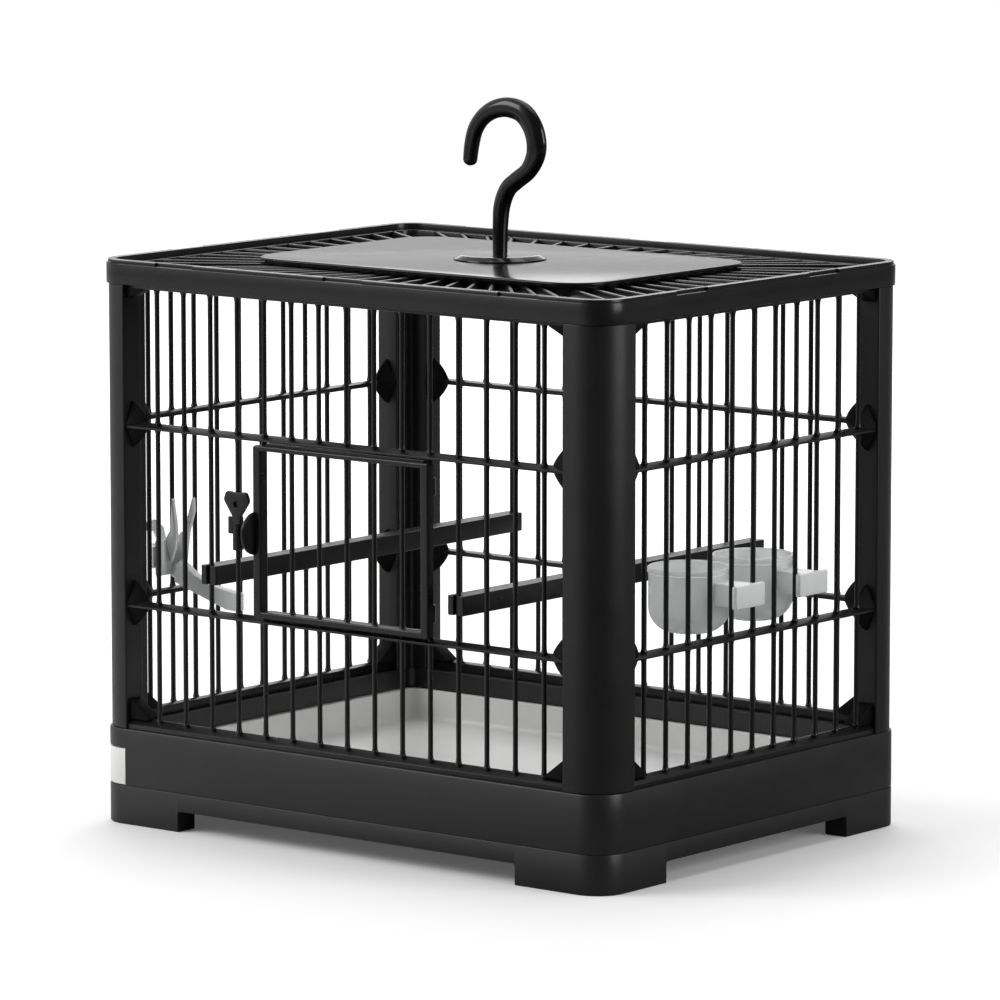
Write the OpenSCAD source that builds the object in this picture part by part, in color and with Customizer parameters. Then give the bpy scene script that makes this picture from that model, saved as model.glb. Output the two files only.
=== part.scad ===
// Travel cage for small birds: a two-piece base with a slide-out tray, four corner posts,
// four barred walls, a barred door with a turning latch, a ribbed roof with a cover plate
// and a carrying hook that swivels. Inside are two perches, two cups and a fruit fork.
// Sizes are in millimetres. +Z is up, the door is on the -Y side and the cups are on +X.
// The origin is on the ground, at the middle of the whole outline seen from above.

/* [Body] */
// Length of the body, left to right
body_length = 300; // [260:5:360]
// Depth of the body, front to back
body_depth = 230; // [215:5:280]
// Height from the ground to the top of the roof rim
body_height = 265; // [245:5:320]
// Radius of the four vertical corners
corner_radius = 15; // [10:1:20]

/* [Base] */
// Height of the feet under the skirt
foot_height = 9.7; // [5:0.1:15]
// Length of a foot along the front and back
foot_length = 50; // [30:1:80]
// Length of a foot along the sides
foot_depth = 46; // [30:1:70]
// Height of the seam between the two base mouldings
seam_height = 18.4; // [17:0.1:24]
// Height of the top of the base, where the walls stand
base_height = 45.4; // [42:0.1:60]
// Thickness of the double wall of the base, skin to skin
base_wall = 12; // [10:0.5:16]
// Thickness of a moulded skin
skin = 2.5; // [1.6:0.1:3]

/* [Tray] */
// Height of the tray, underside to rim
tray_height = 17.3; // [12:0.1:20]
// Thickness of the tray walls at the rim
tray_wall = 2.7; // [1.5:0.1:4]
// Thickness of the tray floor
tray_floor = 2.3; // [1.5:0.1:4]
// Clearance between the tray and what is round it
tray_gap = 0.4; // [0.3:0.1:0.8]
// Length of the corner that the tray's end plate takes in
end_plate_length = 18; // [14:1:22]
// Thickness of the end plate
end_plate = 3; // [2:0.1:4]
// Width of the finger notch in the end plate
finger_width = 54; // [30:1:90]
// Height of the finger notch in the end plate
finger_height = 8; // [4:0.5:10]

/* [Posts and walls] */
// Length of a corner post's leg along the front or back
post_leg = 21; // [19:0.5:26]
// Length of a corner post's leg along a side
post_side_leg = 23; // [20:0.5:26]
// Distance of the front wall's opening to the left of the middle
front_shift = 2.4; // [0:0.1:3]
// Thickness of a corner post
post_thickness = 12; // [10:0.5:14]
// Diameter of a bar
bar_diameter = 2.3; // [1.8:0.1:3]
// Distance from one bar to the next
bar_pitch = 16.25; // [15:0.25:18]
// Depth of the bars' centre line behind the outer face
bar_depth = 3.75; // [3.5:0.05:4.2]
// Depth of a rail's front edge behind the outer face
rail_front = 1; // [0.6:0.1:1.4]
// Depth of a rail's back edge behind the outer face
rail_back = 7.5; // [7:0.1:9]
// Height of a rail's front face
rail_lip = 1; // [0.8:0.1:1.6]
// Height of a rail at its back
rail_height = 2.9; // [2.5:0.1:5]
// Height of the top of the lower rail
lower_rail = 105.8; // [100:0.1:110]
// Height of the top of the upper rail
upper_rail = 189.9; // [184:0.1:200]
// Height of the front face of the ledge at a wall's foot
ledge_lip = 2.2; // [1:0.1:3]
// Height of the ledge at its back
ledge_height = 5.1; // [4:0.1:7]
// Height of the member at the top of a wall, which the roof takes in
crown_height = 4; // [3:0.1:5]
// Depth of the member at the top of a wall
crown_depth = 4.2; // [3.6:0.1:4.6]
// Height of a snap ear above and below its middle, at the post
ear_height = 13; // [9:0.5:15]
// Distance that a snap ear stands out from the post
ear_reach = 10; // [6:0.5:12]
// Height of a snap ear above and below its middle, at its tip
ear_tip = 3; // [1.5:0.5:5]
// Length of a gusset along its rail
gusset_length = 13; // [6:0.5:14]
// Height of a gusset along its post
gusset_height = 10; // [5:0.5:12]

/* [Door and latch] */
// Bar spaces from the middle of the door to its hinge bar
door_bars = 3; // [2:1:3]
// Width of the door's upright members
stile_width = 4.6; // [3.6:0.1:5.4]
// Depth of the door's frame members
stile_depth = 3.95; // [3.5:0.05:5]
// Rounding of the members' front edges
stile_round = 0.8; // [0.3:0.1:1]
// Distance from the hinge bar to the door's outer edge
stile_edge = 2.9; // [2.6:0.1:3.6]
// Height of the door's lower member
sill_height = 3; // [2.4:0.1:4]
// Height of the door's upper member
head_height = 2.4; // [2.2:0.1:4]
// Gap between the lower rail and the door
door_sill_gap = 0.3; // [0.3:0.1:4]
// Gap between the door's front and the upper rail
door_head_gap = 1.4; // [0.5:0.1:4]
// Distance from the door's ends to its hinge knuckles
knuckle_inset = 6.9; // [4:0.1:12]
// Length of a hinge knuckle
knuckle_length = 8; // [5:0.5:14]
// Wall thickness of a hinge knuckle and of the latch sleeve
knuckle_wall = 1.3; // [1:0.1:1.6]
// Radial clearance of a knuckle on its bar
pin_gap = 0.07; // [0.02:0.01:0.1]
// Radius of the finger grip
grip_radius = 10; // [6:0.5:14]
// Depth of the grip's middle behind the door's front
grip_inset = 1.25; // [0.5:0.05:2]
// Thickness of the finger grip
grip_thickness = 1.7; // [1.2:0.1:3]
// Height of the middle of the grip
grip_height = 145; // [130:1:160]
// Level of the lower end of the latch's sleeve
latch_low = 135.5; // [132:0.5:139]
// Length of the latch's sleeve
latch_length = 15.5; // [14:0.5:20]
// Width of the latch's thumb tab
tab_width = 13.5; // [10:0.5:14]
// Thickness of the latch's thumb tab
tab_thickness = 1.8; // [1.2:0.1:2.5]
// Diameter of the hole in the thumb tab
tab_hole = 2.8; // [1.5:0.1:3.5]

/* [Roof] */
// Height of the roof's side beam and rim together
roof_height = 11.3; // [10:0.1:16]
// Width of the rim seen from above
rim_width = 8; // [7.8:0.1:12]
// Height of the rim's upper step
rim_step = 1.6; // [1:0.1:2.2]
// Thickness of a roof rib
rib_thickness = 2; // [1.4:0.1:3]
// Height of a roof rib
rib_height = 4; // [3:0.1:5]
// Depth of the ribs' tops below the rim
rib_drop = 3; // [2:0.1:4]
// Length of the cover plate
plate_length = 200; // [160:5:220]
// Depth of the cover plate
plate_depth = 133; // [100:1:150]
// Thickness of the cover plate
plate_thickness = 1.6; // [1.2:0.1:2.4]
// Corner radius of the cover plate
plate_radius = 20; // [10:1:30]
// Overhang of the cover plate past the collar that carries it
plate_overhang = 6; // [3:1:10]
// Width of the snap notches in the rim
notch_width = 23; // [12:1:30]
// Depth of the snap notches in the rim
notch_depth = 0.8; // [0.4:0.1:1]
// Distance of a long side's outer notches from its middle
notch_spread = 101; // [80:1:108]
// Distance of a short side's notches from its middle
notch_side_spread = 50; // [30:1:70]
// Width of the collar under the cover plate
collar_width = 8; // [5:0.5:12]
// Radius of the boss round the hook's shaft
boss_radius = 15; // [12:0.5:20]
// Height of the boss and of the cross ribs
boss_height = 6; // [4:0.5:8]
// Width of the cross ribs
cross_width = 3; // [2:0.5:5]

/* [Hook] */
// Radius of the hook's shaft where it turns
shaft_radius = 3.2; // [2.5:0.1:4]
// Radial clearance round the shaft
shaft_gap = 0.08; // [0.02:0.01:0.1]
// Height of the hook above the roof rim
hook_rise = 75.4; // [60:0.1:100]
// Radius of the flange at its foot
flange_radius = 21.7; // [14:0.1:26]
// Height of the flange
flange_height = 2.4; // [1.5:0.1:5]
// Radius of the nut under the roof
nut_radius = 8; // [6:0.5:12]
// Height of the nut
nut_height = 3.8; // [2.5:0.1:5]
// Thickness of the washer between the boss and the nut
washer_thickness = 0.9; // [0.6:0.1:2]

/* [Fittings] */
// Width of a perch
perch_width = 9.2; // [6:0.1:12]
// Height of a perch, underside to top
perch_height = 9; // [6:0.1:12]
// Level of the perches' undersides
perch_level = 118; // [112:1:150]
// Chamfer along a perch
perch_chamfer = 0.5; // [0.3:0.1:2.5]
// Outer radius of a feeding cup
cup_radius = 18.8; // [14:0.1:22]
// Height of a feeding cup
cup_height = 30.5; // [26:0.5:40]
// Level of the cups' undersides
cup_level = 102.7; // [98:0.1:120]
// Wall thickness of a feeding cup
cup_wall = 1.6; // [1.2:0.1:2.5]
// Radius of the rounded bottom edge of a cup
cup_round = 12; // [4:0.5:13]
// Height of the collar round a cup's rim
collar_height = 2.5; // [1.5:0.5:10]
// Distance of a cup's axis from the wall's outer face
cup_inset = 33.5; // [30:0.1:40]
// Height of the tab that clips a cup to the bars
clip_height = 10.6; // [8:0.1:16]
// Height of the tab's lower edge above the cup's underside
clip_rise = 14.2; // [8:0.1:18]
// Distance that the tab reaches past the middle of a bar
clip_lap = 2.8; // [2:0.1:6]
// Distance of the tab's middle from the cup's axis
clip_shift = 1; // [0:0.1:2]
// Thickness of the fruit fork's blades
fork_thickness = 2.4; // [1.8:0.1:3.5]
// Level of the lower edge of the fork's outer tab
fork_level = 115; // [110:1:118]
// Height of the fork's outer tab
fork_tab = 12; // [10:1:14]

/* [Hidden] */

$fn = 48;
black = [0.09, 0.09, 0.1];
gloss_black = [0.14, 0.14, 0.15];
white = [0.9, 0.9, 0.88];
clear_grey = [0.75, 0.77, 0.78];

// Clearance between fixed pieces that slot into each other
slot_gap = 0.3;
// What a cut runs past the face it opens
past = 1;

half_length = body_length / 2;
half_depth = body_depth / 2;
// Bars to each side of a wall's middle bar, and height where the posts end under the roof
bars_long = floor((half_length - post_leg - front_shift - bar_diameter - 2) / bar_pitch);
bars_deep = floor((half_depth - post_side_leg - bar_diameter - 2) / bar_pitch);
post_top = body_height - roof_height;
wall_top = post_top + 2.3;
tray_bottom = seam_height + 0.3;
tray_rim = tray_bottom + tray_height;
slot_top = tray_rim + slot_gap;
bar_radius = bar_diameter / 2;
crown_front = bar_depth - 1.45;

// The door's plane, its edges and the hinge and latch bars
bar_line = half_depth - bar_depth;
door_back = bar_line + bar_radius + slot_gap;
door_front = door_back + stile_depth;
hinge_x = door_bars * bar_pitch;
door_half = hinge_x + stile_edge;
door_low = lower_rail + door_sill_gap;
door_high = upper_rail - rail_height - door_head_gap;
grip_reach = door_front + grip_radius - grip_inset;
latch_x = (door_bars + 1) * bar_pitch;
sleeve_radius = bar_radius + pin_gap + knuckle_wall;

// The middle of the outline lies forward of the body's middle, because the grip stands out
shift_y = (grip_reach - half_depth) / 2;

// The roof's collar, which carries the cover plate
collar_x = plate_length / 2 - plate_overhang;
collar_y = plate_depth / 2 - plate_overhang;
plate_bottom = body_height - plate_thickness;
rib_top = body_height - rib_drop;
boss_bottom = plate_bottom - boss_height;
washer_bottom = boss_bottom - slot_gap - washer_thickness;
nut_bottom = washer_bottom - nut_height;
hook_hole = shaft_radius + shaft_gap;

cup_front_y = -bar_pitch / 2;
cup_back_y = 2.5 * bar_pitch;
perch_left_x = -(door_bars + 2) * bar_pitch;
perch_right_x = (door_bars + 1) * bar_pitch;
fork_gap_y = -(bars_deep - 0.5) * bar_pitch;

// Moves a piece from the body's own middle to the part's origin
module placed() {
    translate([0, shift_y, 0])
        children();
}

// Rectangle with round corners, made of straight and round pieces
module rounded_rect(length, depth, radius) {
    square([length - 2 * radius, depth], center = true);
    square([length, depth - 2 * radius], center = true);
    for (sx = [-1, 1])
        for (sy = [-1, 1])
            translate([sx * (length / 2 - radius), sy * (depth / 2 - radius)])
                circle(radius);
}

// The body's outline, drawn in from its outer face by inset
module body_outline(inset) {
    rounded_rect(
        body_length - 2 * inset,
        body_depth - 2 * inset,
        max(corner_radius - inset, 1)
    );
}

// Slab of a flat outline between two heights
module slab(low, high) {
    translate([0, 0, low])
        linear_extrude(high - low)
            children();
}

// Stands a wall, drawn along X with its depth along +Y, on one side of the body
module on_side(turn, half_span) {
    rotate([0, 0, turn])
        translate([0, -half_span, 0])
            children();
}

// Both ends of something symmetrical about the middle of a wall
module both_ends(half) {
    for (flip = [0, 1])
        mirror([flip, 0, 0])
            translate([-half, 0, 0])
                children();
}

// Lower base moulding: skirt, floor and four L-shaped feet
module base_bottom() {
    leg = base_wall;
    color(black) placed() {
        slab(seam_height - skin, seam_height)
            body_outline(0);
        slab(foot_height, seam_height) difference() {
            body_outline(0);
            body_outline(skin + 1);
        }
        slab(0, seam_height - skin / 2) intersection() {
            difference() {
                body_outline(0);
                body_outline(leg);
            }
            for (sx = [-1, 1])
                for (sy = [-1, 1])
                    translate([
                        sx * (half_length - foot_length / 2),
                        sy * (half_depth - foot_depth / 2)
                    ])
                        square([foot_length, foot_depth], center = true);
        }
    }
}

// Upper base moulding: a hollow double wall, cut away on the left for the tray
module base_body() {
    color(black) placed() difference() {
        slab(seam_height, base_height)
            difference() {
                body_outline(0);
                body_outline(base_wall);
            }
        slab(seam_height - past, base_height - skin)
            difference() {
                body_outline(skin);
                body_outline(base_wall - skin);
            }
        translate([-half_length - past, -half_depth - past, seam_height - past])
            cube([
                end_plate_length + past,
                body_depth + 2 * past,
                slot_top - seam_height + past
            ]);
    }
}

// Slide-out tray: a shallow pan and the end plate that closes the base's left side
module tray() {
    half_x = half_length - base_wall - tray_gap;
    half_y = half_depth - base_wall - tray_gap;
    floor_top = tray_bottom + tray_floor;
    sweep = 3;
    plate_top = slot_top - tray_gap;
    finger_radius = (finger_width * finger_width / 4 + finger_height * finger_height)
        / (2 * finger_height);
    color(white) placed() {
        difference() {
            slab(tray_bottom, tray_rim)
                rounded_rect(2 * half_x, 2 * half_y, 6);
            slab(floor_top + sweep, tray_rim + past)
                rounded_rect(2 * (half_x - tray_wall), 2 * (half_y - tray_wall), 3.5);
            hull() {
                slab(floor_top, floor_top + 0.1)
                    rounded_rect(
                        2 * (half_x - tray_wall - sweep),
                        2 * (half_y - tray_wall - sweep),
                        1.5,
                        $fn = 24
                    );
                slab(floor_top + sweep, floor_top + sweep + 0.2)
                    rounded_rect(
                        2 * (half_x - tray_wall),
                        2 * (half_y - tray_wall),
                        3.5,
                        $fn = 24
                    );
            }
        }
        difference() {
            slab(tray_bottom, plate_top)
                end_outline(0);
            slab(tray_bottom - past, plate_top - skin)
                end_outline(end_plate);
            translate([-half_length - past, 0, tray_bottom + finger_height - finger_radius])
                rotate([0, 90, 0])
                    cylinder(h = end_plate + 2 * past, r = finger_radius, $fn = 96);
        }
        slab(plate_top - skin, plate_top)
            translate([-half_x - 1, 0])
                square([end_plate_length - base_wall + 8, 2 * half_y - 16], center = true);
    }
}

// The left end of the body's outline, as far as the end plate takes it in
module end_outline(inset) {
    intersection() {
        body_outline(inset);
        translate([-half_length + end_plate_length / 2 - tray_gap / 2, 0])
            square([end_plate_length - tray_gap, body_depth], center = true);
    }
}

// L-shaped hollow corner post, standing on the base at the corner given by the signs
module corner_post(sx, sy) {
    leg = post_leg + (sy < 0 ? sx * front_shift : 0);
    color(black) placed() slab(base_height, post_top) {
        difference() {
            post_outline(sx, sy, leg, 0);
            post_outline(sx, sy, leg, skin);
        }
    }
}

module post_outline(sx, sy, leg, inset) {
    intersection() {
        difference() {
            body_outline(inset);
            square([
                body_length - 2 * post_thickness + 2 * inset,
                body_depth - 2 * post_thickness + 2 * inset
            ], center = true);
        }
        translate([
            sx * (half_length - leg / 2),
            sy * (half_depth - post_side_leg / 2)
        ])
            square([leg - 2 * inset, post_side_leg - 2 * inset], center = true);
    }
}

module post_front_left() {
    corner_post(-1, -1);
}

module post_front_right() {
    corner_post(1, -1);
}

module post_back_left() {
    corner_post(-1, 1);
}

module post_back_right() {
    corner_post(1, 1);
}

// Rail of wedge section between two posts: its top, its height and its front face's height
module rail(half, top, height, lip) {
    flat = 0.6;
    translate([-half, 0, top - height])
        rotate([90, 0, 90])
            linear_extrude(2 * half)
                polygon([
                    [rail_front, 0],
                    [rail_back, 0],
                    [rail_back, height],
                    [rail_back - flat, height],
                    [rail_front, lip]
                ]);
}

// Snap ear: a blunt four-sided point that stands out from the post's end
module ear(level) {
    leaf = 0.4;
    root_front = 0.8;
    blunt = 1.2;
    translate([0, 0, level])
        rotate([90, 0, 90])
            hull() {
                linear_extrude(leaf)
                    diamond(root_front, post_thickness, ear_height, blunt);
                translate([0, 0, ear_reach - leaf])
                    linear_extrude(leaf)
                        diamond(bar_depth - 0.8, rail_back, ear_tip, ear_tip / 2);
            }
}

// Diamond between two depths, tallest nearer the front, with its side corners cut off
module diamond(front, back, height, blunt) {
    ridge = front + (back - front) * 0.45;
    polygon([
        [front, -blunt], [ridge, -height], [back, -blunt],
        [back, blunt], [ridge, height], [front, blunt]
    ]);
}

// Gusset that fills the corner between a post and the rail above or below it
module corner_gusset(level, up) {
    front = rail_front + 1.2;
    back = rail_back + 2.5;
    translate([0, back, level])
        rotate([90, 0, 0])
            linear_extrude(back - front)
                polygon([[0, 0], [gusset_length, 0], [0, up * gusset_height]]);
}

module bar(x, low, high) {
    translate([x, bar_depth, low])
        cylinder(h = high - low, d = bar_diameter, $fn = 24);
}

// Barred wall between two posts, with its opening moved along it by shift; a doorway
// leaves out the middle bars between the rails
module wall(turn, half_span, half, shift, bars, doorway) {
    ledge = base_height + ledge_height;
    overlap = 0.5;
    color(black) placed() on_side(turn, half_span) {
        for (k = [-bars : bars]) {
            if (doorway && abs(k) < door_bars) {
                bar(k * bar_pitch, base_height + 1, lower_rail - 1);
                bar(k * bar_pitch, upper_rail - rail_height + 1, wall_top - 1);
            } else {
                bar(k * bar_pitch, base_height + 1, wall_top - 1);
            }
        }
        translate([-shift, 0, 0]) {
            rail(half, ledge, ledge_height, ledge_lip);
            rail(half, lower_rail, rail_height, rail_lip);
            rail(half, upper_rail, rail_height, rail_lip);
            translate([-half, crown_front, wall_top - crown_height])
                cube([2 * half, crown_depth, crown_height]);
            both_ends(half) {
                ear(lower_rail - rail_height / 2);
                ear(upper_rail - rail_height / 2);
                corner_gusset(ledge - overlap, 1);
                corner_gusset(wall_top - crown_height + overlap, -1);
            }
        }
    }
}

module wall_front() {
    wall(0, half_depth, half_length - post_leg, front_shift, bars_long, true);
}

module wall_back() {
    wall(180, half_depth, half_length - post_leg, 0, bars_long, false);
}

module wall_left() {
    wall(-90, half_length, half_depth - post_side_leg, 0, bars_deep, false);
}

module wall_right() {
    wall(90, half_length, half_depth - post_side_leg, 0, bars_deep, false);
}

// Roof rib along the line from the middle of the roof through one point of the bar line
module roof_rib(x, y) {
    rim_inside_x = half_length - rim_width + 0.6;
    rim_inside_y = half_depth - rim_width + 0.6;
    reach = norm([x, y]);
    inner = min((collar_x - 2) / max(abs(x), 0.01), (collar_y - 2) / max(abs(y), 0.01));
    outer = min(rim_inside_x / max(abs(x), 0.01), rim_inside_y / max(abs(y), 0.01));
    rotate([0, 0, atan2(y, x)])
        translate([reach * inner, -rib_thickness / 2, rib_top - rib_height])
            cube([reach * (outer - inner), rib_thickness, rib_height]);
}

// Roof moulding: rim with grooves for the walls, radial ribs, collar, cross ribs and boss
module roof_frame() {
    groove_width = crown_depth + 2 * slot_gap;
    groove_top = wall_top + 3;
    edge = 0.8;
    corner = plate_radius - 4;
    color(black) placed() {
        difference() {
            union() {
                slab(post_top, body_height - rim_step)
                    body_outline(0);
                slab(body_height - rim_step, body_height)
                    body_outline(edge);
            }
            slab(post_top - past, body_height + past)
                body_outline(rim_width);
            for (side = [0, 1, 2, 3]) {
                along = side % 2 == 0;
                half_span = along ? half_depth : half_length;
                half = (along ? half_length - post_leg : half_depth - post_side_leg) + slot_gap;
                shift = side == 0 ? front_shift : 0;
                spots = along
                    ? [-notch_spread, 0, notch_spread]
                    : [-notch_side_spread, notch_side_spread];
                on_side(90 * side, half_span) {
                    translate([-half - shift, crown_front - slot_gap, post_top - past])
                        cube([2 * half, groove_width, groove_top - post_top + past]);
                    for (spot = spots)
                        translate([spot - notch_width / 2, -past, body_height - rim_step])
                            cube([notch_width, past + edge + notch_depth, rim_step + past]);
                }
            }
        }
        for (k = [-bars_long - 1 : bars_long + 1])
            for (side = [-1, 1])
                roof_rib(k * bar_pitch, side * bar_line);
        for (k = [-bars_deep - 1 : bars_deep + 1])
            for (side = [-1, 1])
                roof_rib(side * (half_length - bar_depth), k * bar_pitch);
        difference() {
            union() {
                slab(rib_top - rib_height - 0.5, plate_bottom)
                    difference() {
                        rounded_rect(2 * collar_x, 2 * collar_y, corner);
                        rounded_rect(
                            2 * (collar_x - collar_width),
                            2 * (collar_y - collar_width),
                            max(corner - collar_width, 1)
                        );
                    }
                slab(boss_bottom, plate_bottom) {
                    circle(boss_radius);
                    square([2 * collar_x - collar_width, cross_width], center = true);
                    square([cross_width, 2 * collar_y - collar_width], center = true);
                }
            }
            cylinder(h = 2 * body_height, r = hook_hole);
        }
    }
}

// Glossy cover plate with a softened top edge
module roof_plate() {
    edge = 0.5;
    color(gloss_black) placed() difference() {
        union() {
            slab(plate_bottom, body_height - edge)
                rounded_rect(plate_length, plate_depth, plate_radius);
            slab(body_height - edge, body_height)
                rounded_rect(plate_length - 2 * edge, plate_depth - 2 * edge, plate_radius - edge);
        }
        translate([0, 0, plate_bottom - past])
            cylinder(h = plate_thickness + 2 * past, r = hook_hole);
    }
}

// Low cone round the hook's shaft
module hook_flange() {
    color(gloss_black) placed() translate([0, 0, body_height])
        rotate_extrude($fn = 96)
            polygon([
                [hook_hole, 0],
                [flange_radius, 0],
                [flange_radius, 0.6],
                [flange_radius - 2.9, flange_height],
                [hook_hole, flange_height]
            ]);
}

// The hook's centre line: x and the height as a share of the rise, then the section's
// half width in the hook's plane and half width across it
hook_points = [
    [0, 0.036, 3.45, 3.45],
    [0.2, 0.2, 3.7, 3.6],
    [1.2, 0.331, 4.1, 3.8],
    [4.6, 0.432, 4.2, 3.8],
    [10, 0.491, 4.2, 3.7],
    [16.8, 0.557, 4.3, 3.6],
    [20.9, 0.65, 5, 3.6],
    [21.3, 0.743, 5.3, 3.6],
    [18.6, 0.836, 5.3, 3.6],
    [13, 0.91, 5.1, 3.6],
    [5, 0.936, 4.8, 3.6],
    [-3, 0.919, 4.4, 3.5],
    [-9.9, 0.866, 4, 3.5],
    [-14.5, 0.789, 3.9, 3.4],
    [-16.7, 0.694, 3.8, 3.3],
    [-17.7, 0.6, 3.5, 3.2]
];
hook_last = len(hook_points) - 1;
hook_steps = 4;
hook_sides = 20;
shaft_rise = 10;

function hook_knot(i) = hook_points[min(max(i, 0), hook_last)];

// Smooth curve through the hook's points, t counted in points from the first
function hook_at(t) =
    let (
        i = min(floor(t), hook_last - 1),
        f = t - i,
        a = hook_knot(i - 1),
        b = hook_knot(i),
        c = hook_knot(i + 1),
        d = hook_knot(i + 2)
    )
    0.5 * (2 * b + (c - a) * f + (2 * a - 5 * b + 4 * c - d) * f * f
        + (3 * b - a - 3 * c + d) * f * f * f);

function hook_spot(t) =
    let (p = hook_at(t))
    [p[0], 0, body_height + p[1] * hook_rise];

// One ring of the hook, squeezed by a share of its size and moved along the hook's line
function hook_ring(t, share, ahead) =
    let (
        p = hook_at(t),
        way = hook_spot(min(t + 0.05, hook_last)) - hook_spot(max(t - 0.05, 0)),
        dir = way / norm(way),
        out = [dir[2], 0, -dir[0]]
    )
    [
        for (k = [0 : hook_sides - 1])
            let (angle = 360 * k / hook_sides)
            hook_spot(t) + ahead * dir
                + share * (p[2] * cos(angle) * out + p[3] * sin(angle) * [0, 1, 0])
    ];

// The hook's tip closes with rings that shrink as a quarter circle does
hook_rings = [
    for (s = [0 : hook_last * hook_steps])
        hook_ring(s / hook_steps, 1, 0),
    for (a = [25 : 25 : 75])
        hook_ring(hook_last, cos(a), 2.6 * sin(a))
];

// Carrying hook: the turned shaft through the roof and the tapered hook above it
module hook() {
    rings = len(hook_rings);
    points = [for (ring = hook_rings) each ring];
    faces = concat(
        [[for (k = [0 : hook_sides - 1]) k]],
        [
            for (r = [0 : rings - 2])
                for (k = [0 : hook_sides - 1])
                    let (
                        a = r * hook_sides + k,
                        b = r * hook_sides + (k + 1) % hook_sides
                    )
                    each [[a, a + hook_sides, b + hook_sides], [a, b + hook_sides, b]]
        ],
        [[for (k = [hook_sides - 1 : -1 : 0]) (rings - 1) * hook_sides + k]]
    );
    color(gloss_black) placed() {
        polyhedron(points, faces, convexity = 6);
        translate([0, 0, nut_bottom])
            cylinder(h = body_height + shaft_rise - nut_bottom, r = shaft_radius);
    }
}

// Ring round the hook's shaft, on which the nut bears
module hook_washer() {
    color(gloss_black) placed() translate([0, 0, washer_bottom])
        difference() {
            cylinder(h = washer_thickness, r = nut_radius + 2);
            shaft_bore(washer_thickness);
        }
}

// Six-sided nut that holds the hook under the roof
module hook_nut() {
    color(gloss_black) placed() translate([0, 0, nut_bottom])
        difference() {
            cylinder(h = nut_height, r = nut_radius, $fn = 6);
            shaft_bore(nut_height);
        }
}

// Close-fitting hole for the shaft through a piece of the given height
module shaft_bore(height) {
    translate([0, 0, -past])
        cylinder(h = height + 2 * past, r = shaft_radius + 0.02);
}

// Section of a door member, with the edges of its front, at -Y, rounded
module member_section(width) {
    flank = width / 2 - stile_round;
    for (sx = [-1, 1])
        translate([sx * flank, -door_front + stile_round])
            circle(stile_round);
    translate([-flank, -door_front])
        square([2 * flank, stile_depth]);
    translate([-width / 2, -door_front + stile_round])
        square([width, stile_depth - stile_round]);
}

// Cross member of the door's frame, with an inner rib between the wall's bars up to rib_high
module cross_member(low, height, rib_low, rib_high) {
    reach = door_half - stile_width / 2;
    rib_half = hinge_x - bar_radius - 0.8;
    rib_front = door_back + 0.5;
    translate([-reach, 0, low + height / 2])
        rotate([0, 90, 0])
            linear_extrude(2 * reach)
                member_section(height);
    translate([-rib_half, -rib_front, rib_low])
        cube([2 * rib_half, rib_front - bar_line + bar_radius, rib_high - rib_low]);
}

// Barred door in its frame, with two hinge knuckles and a half-round finger grip
module door() {
    reach = door_half - stile_width / 2;
    rib_high = upper_rail - rail_height - 0.5;
    color(black) placed() difference() {
        union() {
            for (sx = [-1, 1])
                translate([sx * reach, 0, 0])
                    slab(door_low, door_high)
                        member_section(stile_width);
            cross_member(door_low, sill_height, door_low, door_low + sill_height);
            cross_member(door_high - head_height, head_height, door_high - head_height, rib_high);
            for (k = [1 - door_bars : door_bars - 1])
                translate([k * bar_pitch, -bar_line, door_low + 1])
                    cylinder(h = door_high - door_low - 2, d = bar_diameter, $fn = 24);
            for (level = [door_low + knuckle_inset, door_high - knuckle_inset - knuckle_length])
                translate([hinge_x, -bar_line, level])
                    cylinder(h = knuckle_length, r = sleeve_radius);
            translate([-door_half, 0, grip_height])
                rotate([0, 90, 0])
                    intersection() {
                        translate([0, -grip_reach + grip_radius, 0])
                            cylinder(h = grip_thickness, r = grip_radius, $fn = 96);
                        translate([-grip_radius, -grip_reach, 0])
                            cube([2 * grip_radius, grip_radius + grip_inset, grip_thickness]);
                    }
        }
        translate([hinge_x, -bar_line, door_low - past])
            cylinder(h = door_high - door_low + 2 * past, r = bar_radius + pin_gap);
    }
}

// Latch that turns on its bar: clip sleeve, tongue towards the door and a thumb tab
module door_latch() {
    high = latch_low + latch_length;
    tongue = latch_x - door_half - 0.5;
    tongue_thickness = 2.2;
    tongue_height = 6;
    tab_back = bar_radius + slot_gap;
    lobe = tab_width * 0.29;
    mouth = 1.7;
    color(black) placed() translate([-latch_x, -bar_line, 0]) difference() {
        union() {
            slab(latch_low, high)
                circle(sleeve_radius);
            translate([-sleeve_radius - 2.1, -1.9, high - 8])
                cube([3.2, 3.8, 8]);
            translate([bar_radius + 0.9, -tongue_thickness / 2, latch_low + 5.5])
                cube([tongue - bar_radius - 0.9, tongue_thickness, tongue_height]);
            translate([0, -tab_back, 0])
                rotate([90, 0, 0])
                    linear_extrude(tab_thickness)
                        difference() {
                            union() {
                                for (sx = [-1, 1])
                                    translate([sx * (tab_width / 2 - lobe), high + 7.8])
                                        circle(lobe);
                                polygon([
                                    [-2.2, high - 4], [2.2, high - 4], [2.6, high + 0.5],
                                    [tab_width / 2 - 1.1, high + 5],
                                    [tab_width / 2 - lobe, high + 11],
                                    [lobe - tab_width / 2, high + 11],
                                    [1.1 - tab_width / 2, high + 5],
                                    [-2.6, high + 0.5]
                                ]);
                            }
                            translate([0, high + 6])
                                circle(d = tab_hole);
                        }
        }
        slab(latch_low - past, high + past)
            circle(bar_radius + pin_gap);
        translate([-sleeve_radius - 4, -mouth / 2, latch_low - past])
            cube([sleeve_radius + 4, mouth, latch_length + 2 * past]);
    }
}

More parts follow.
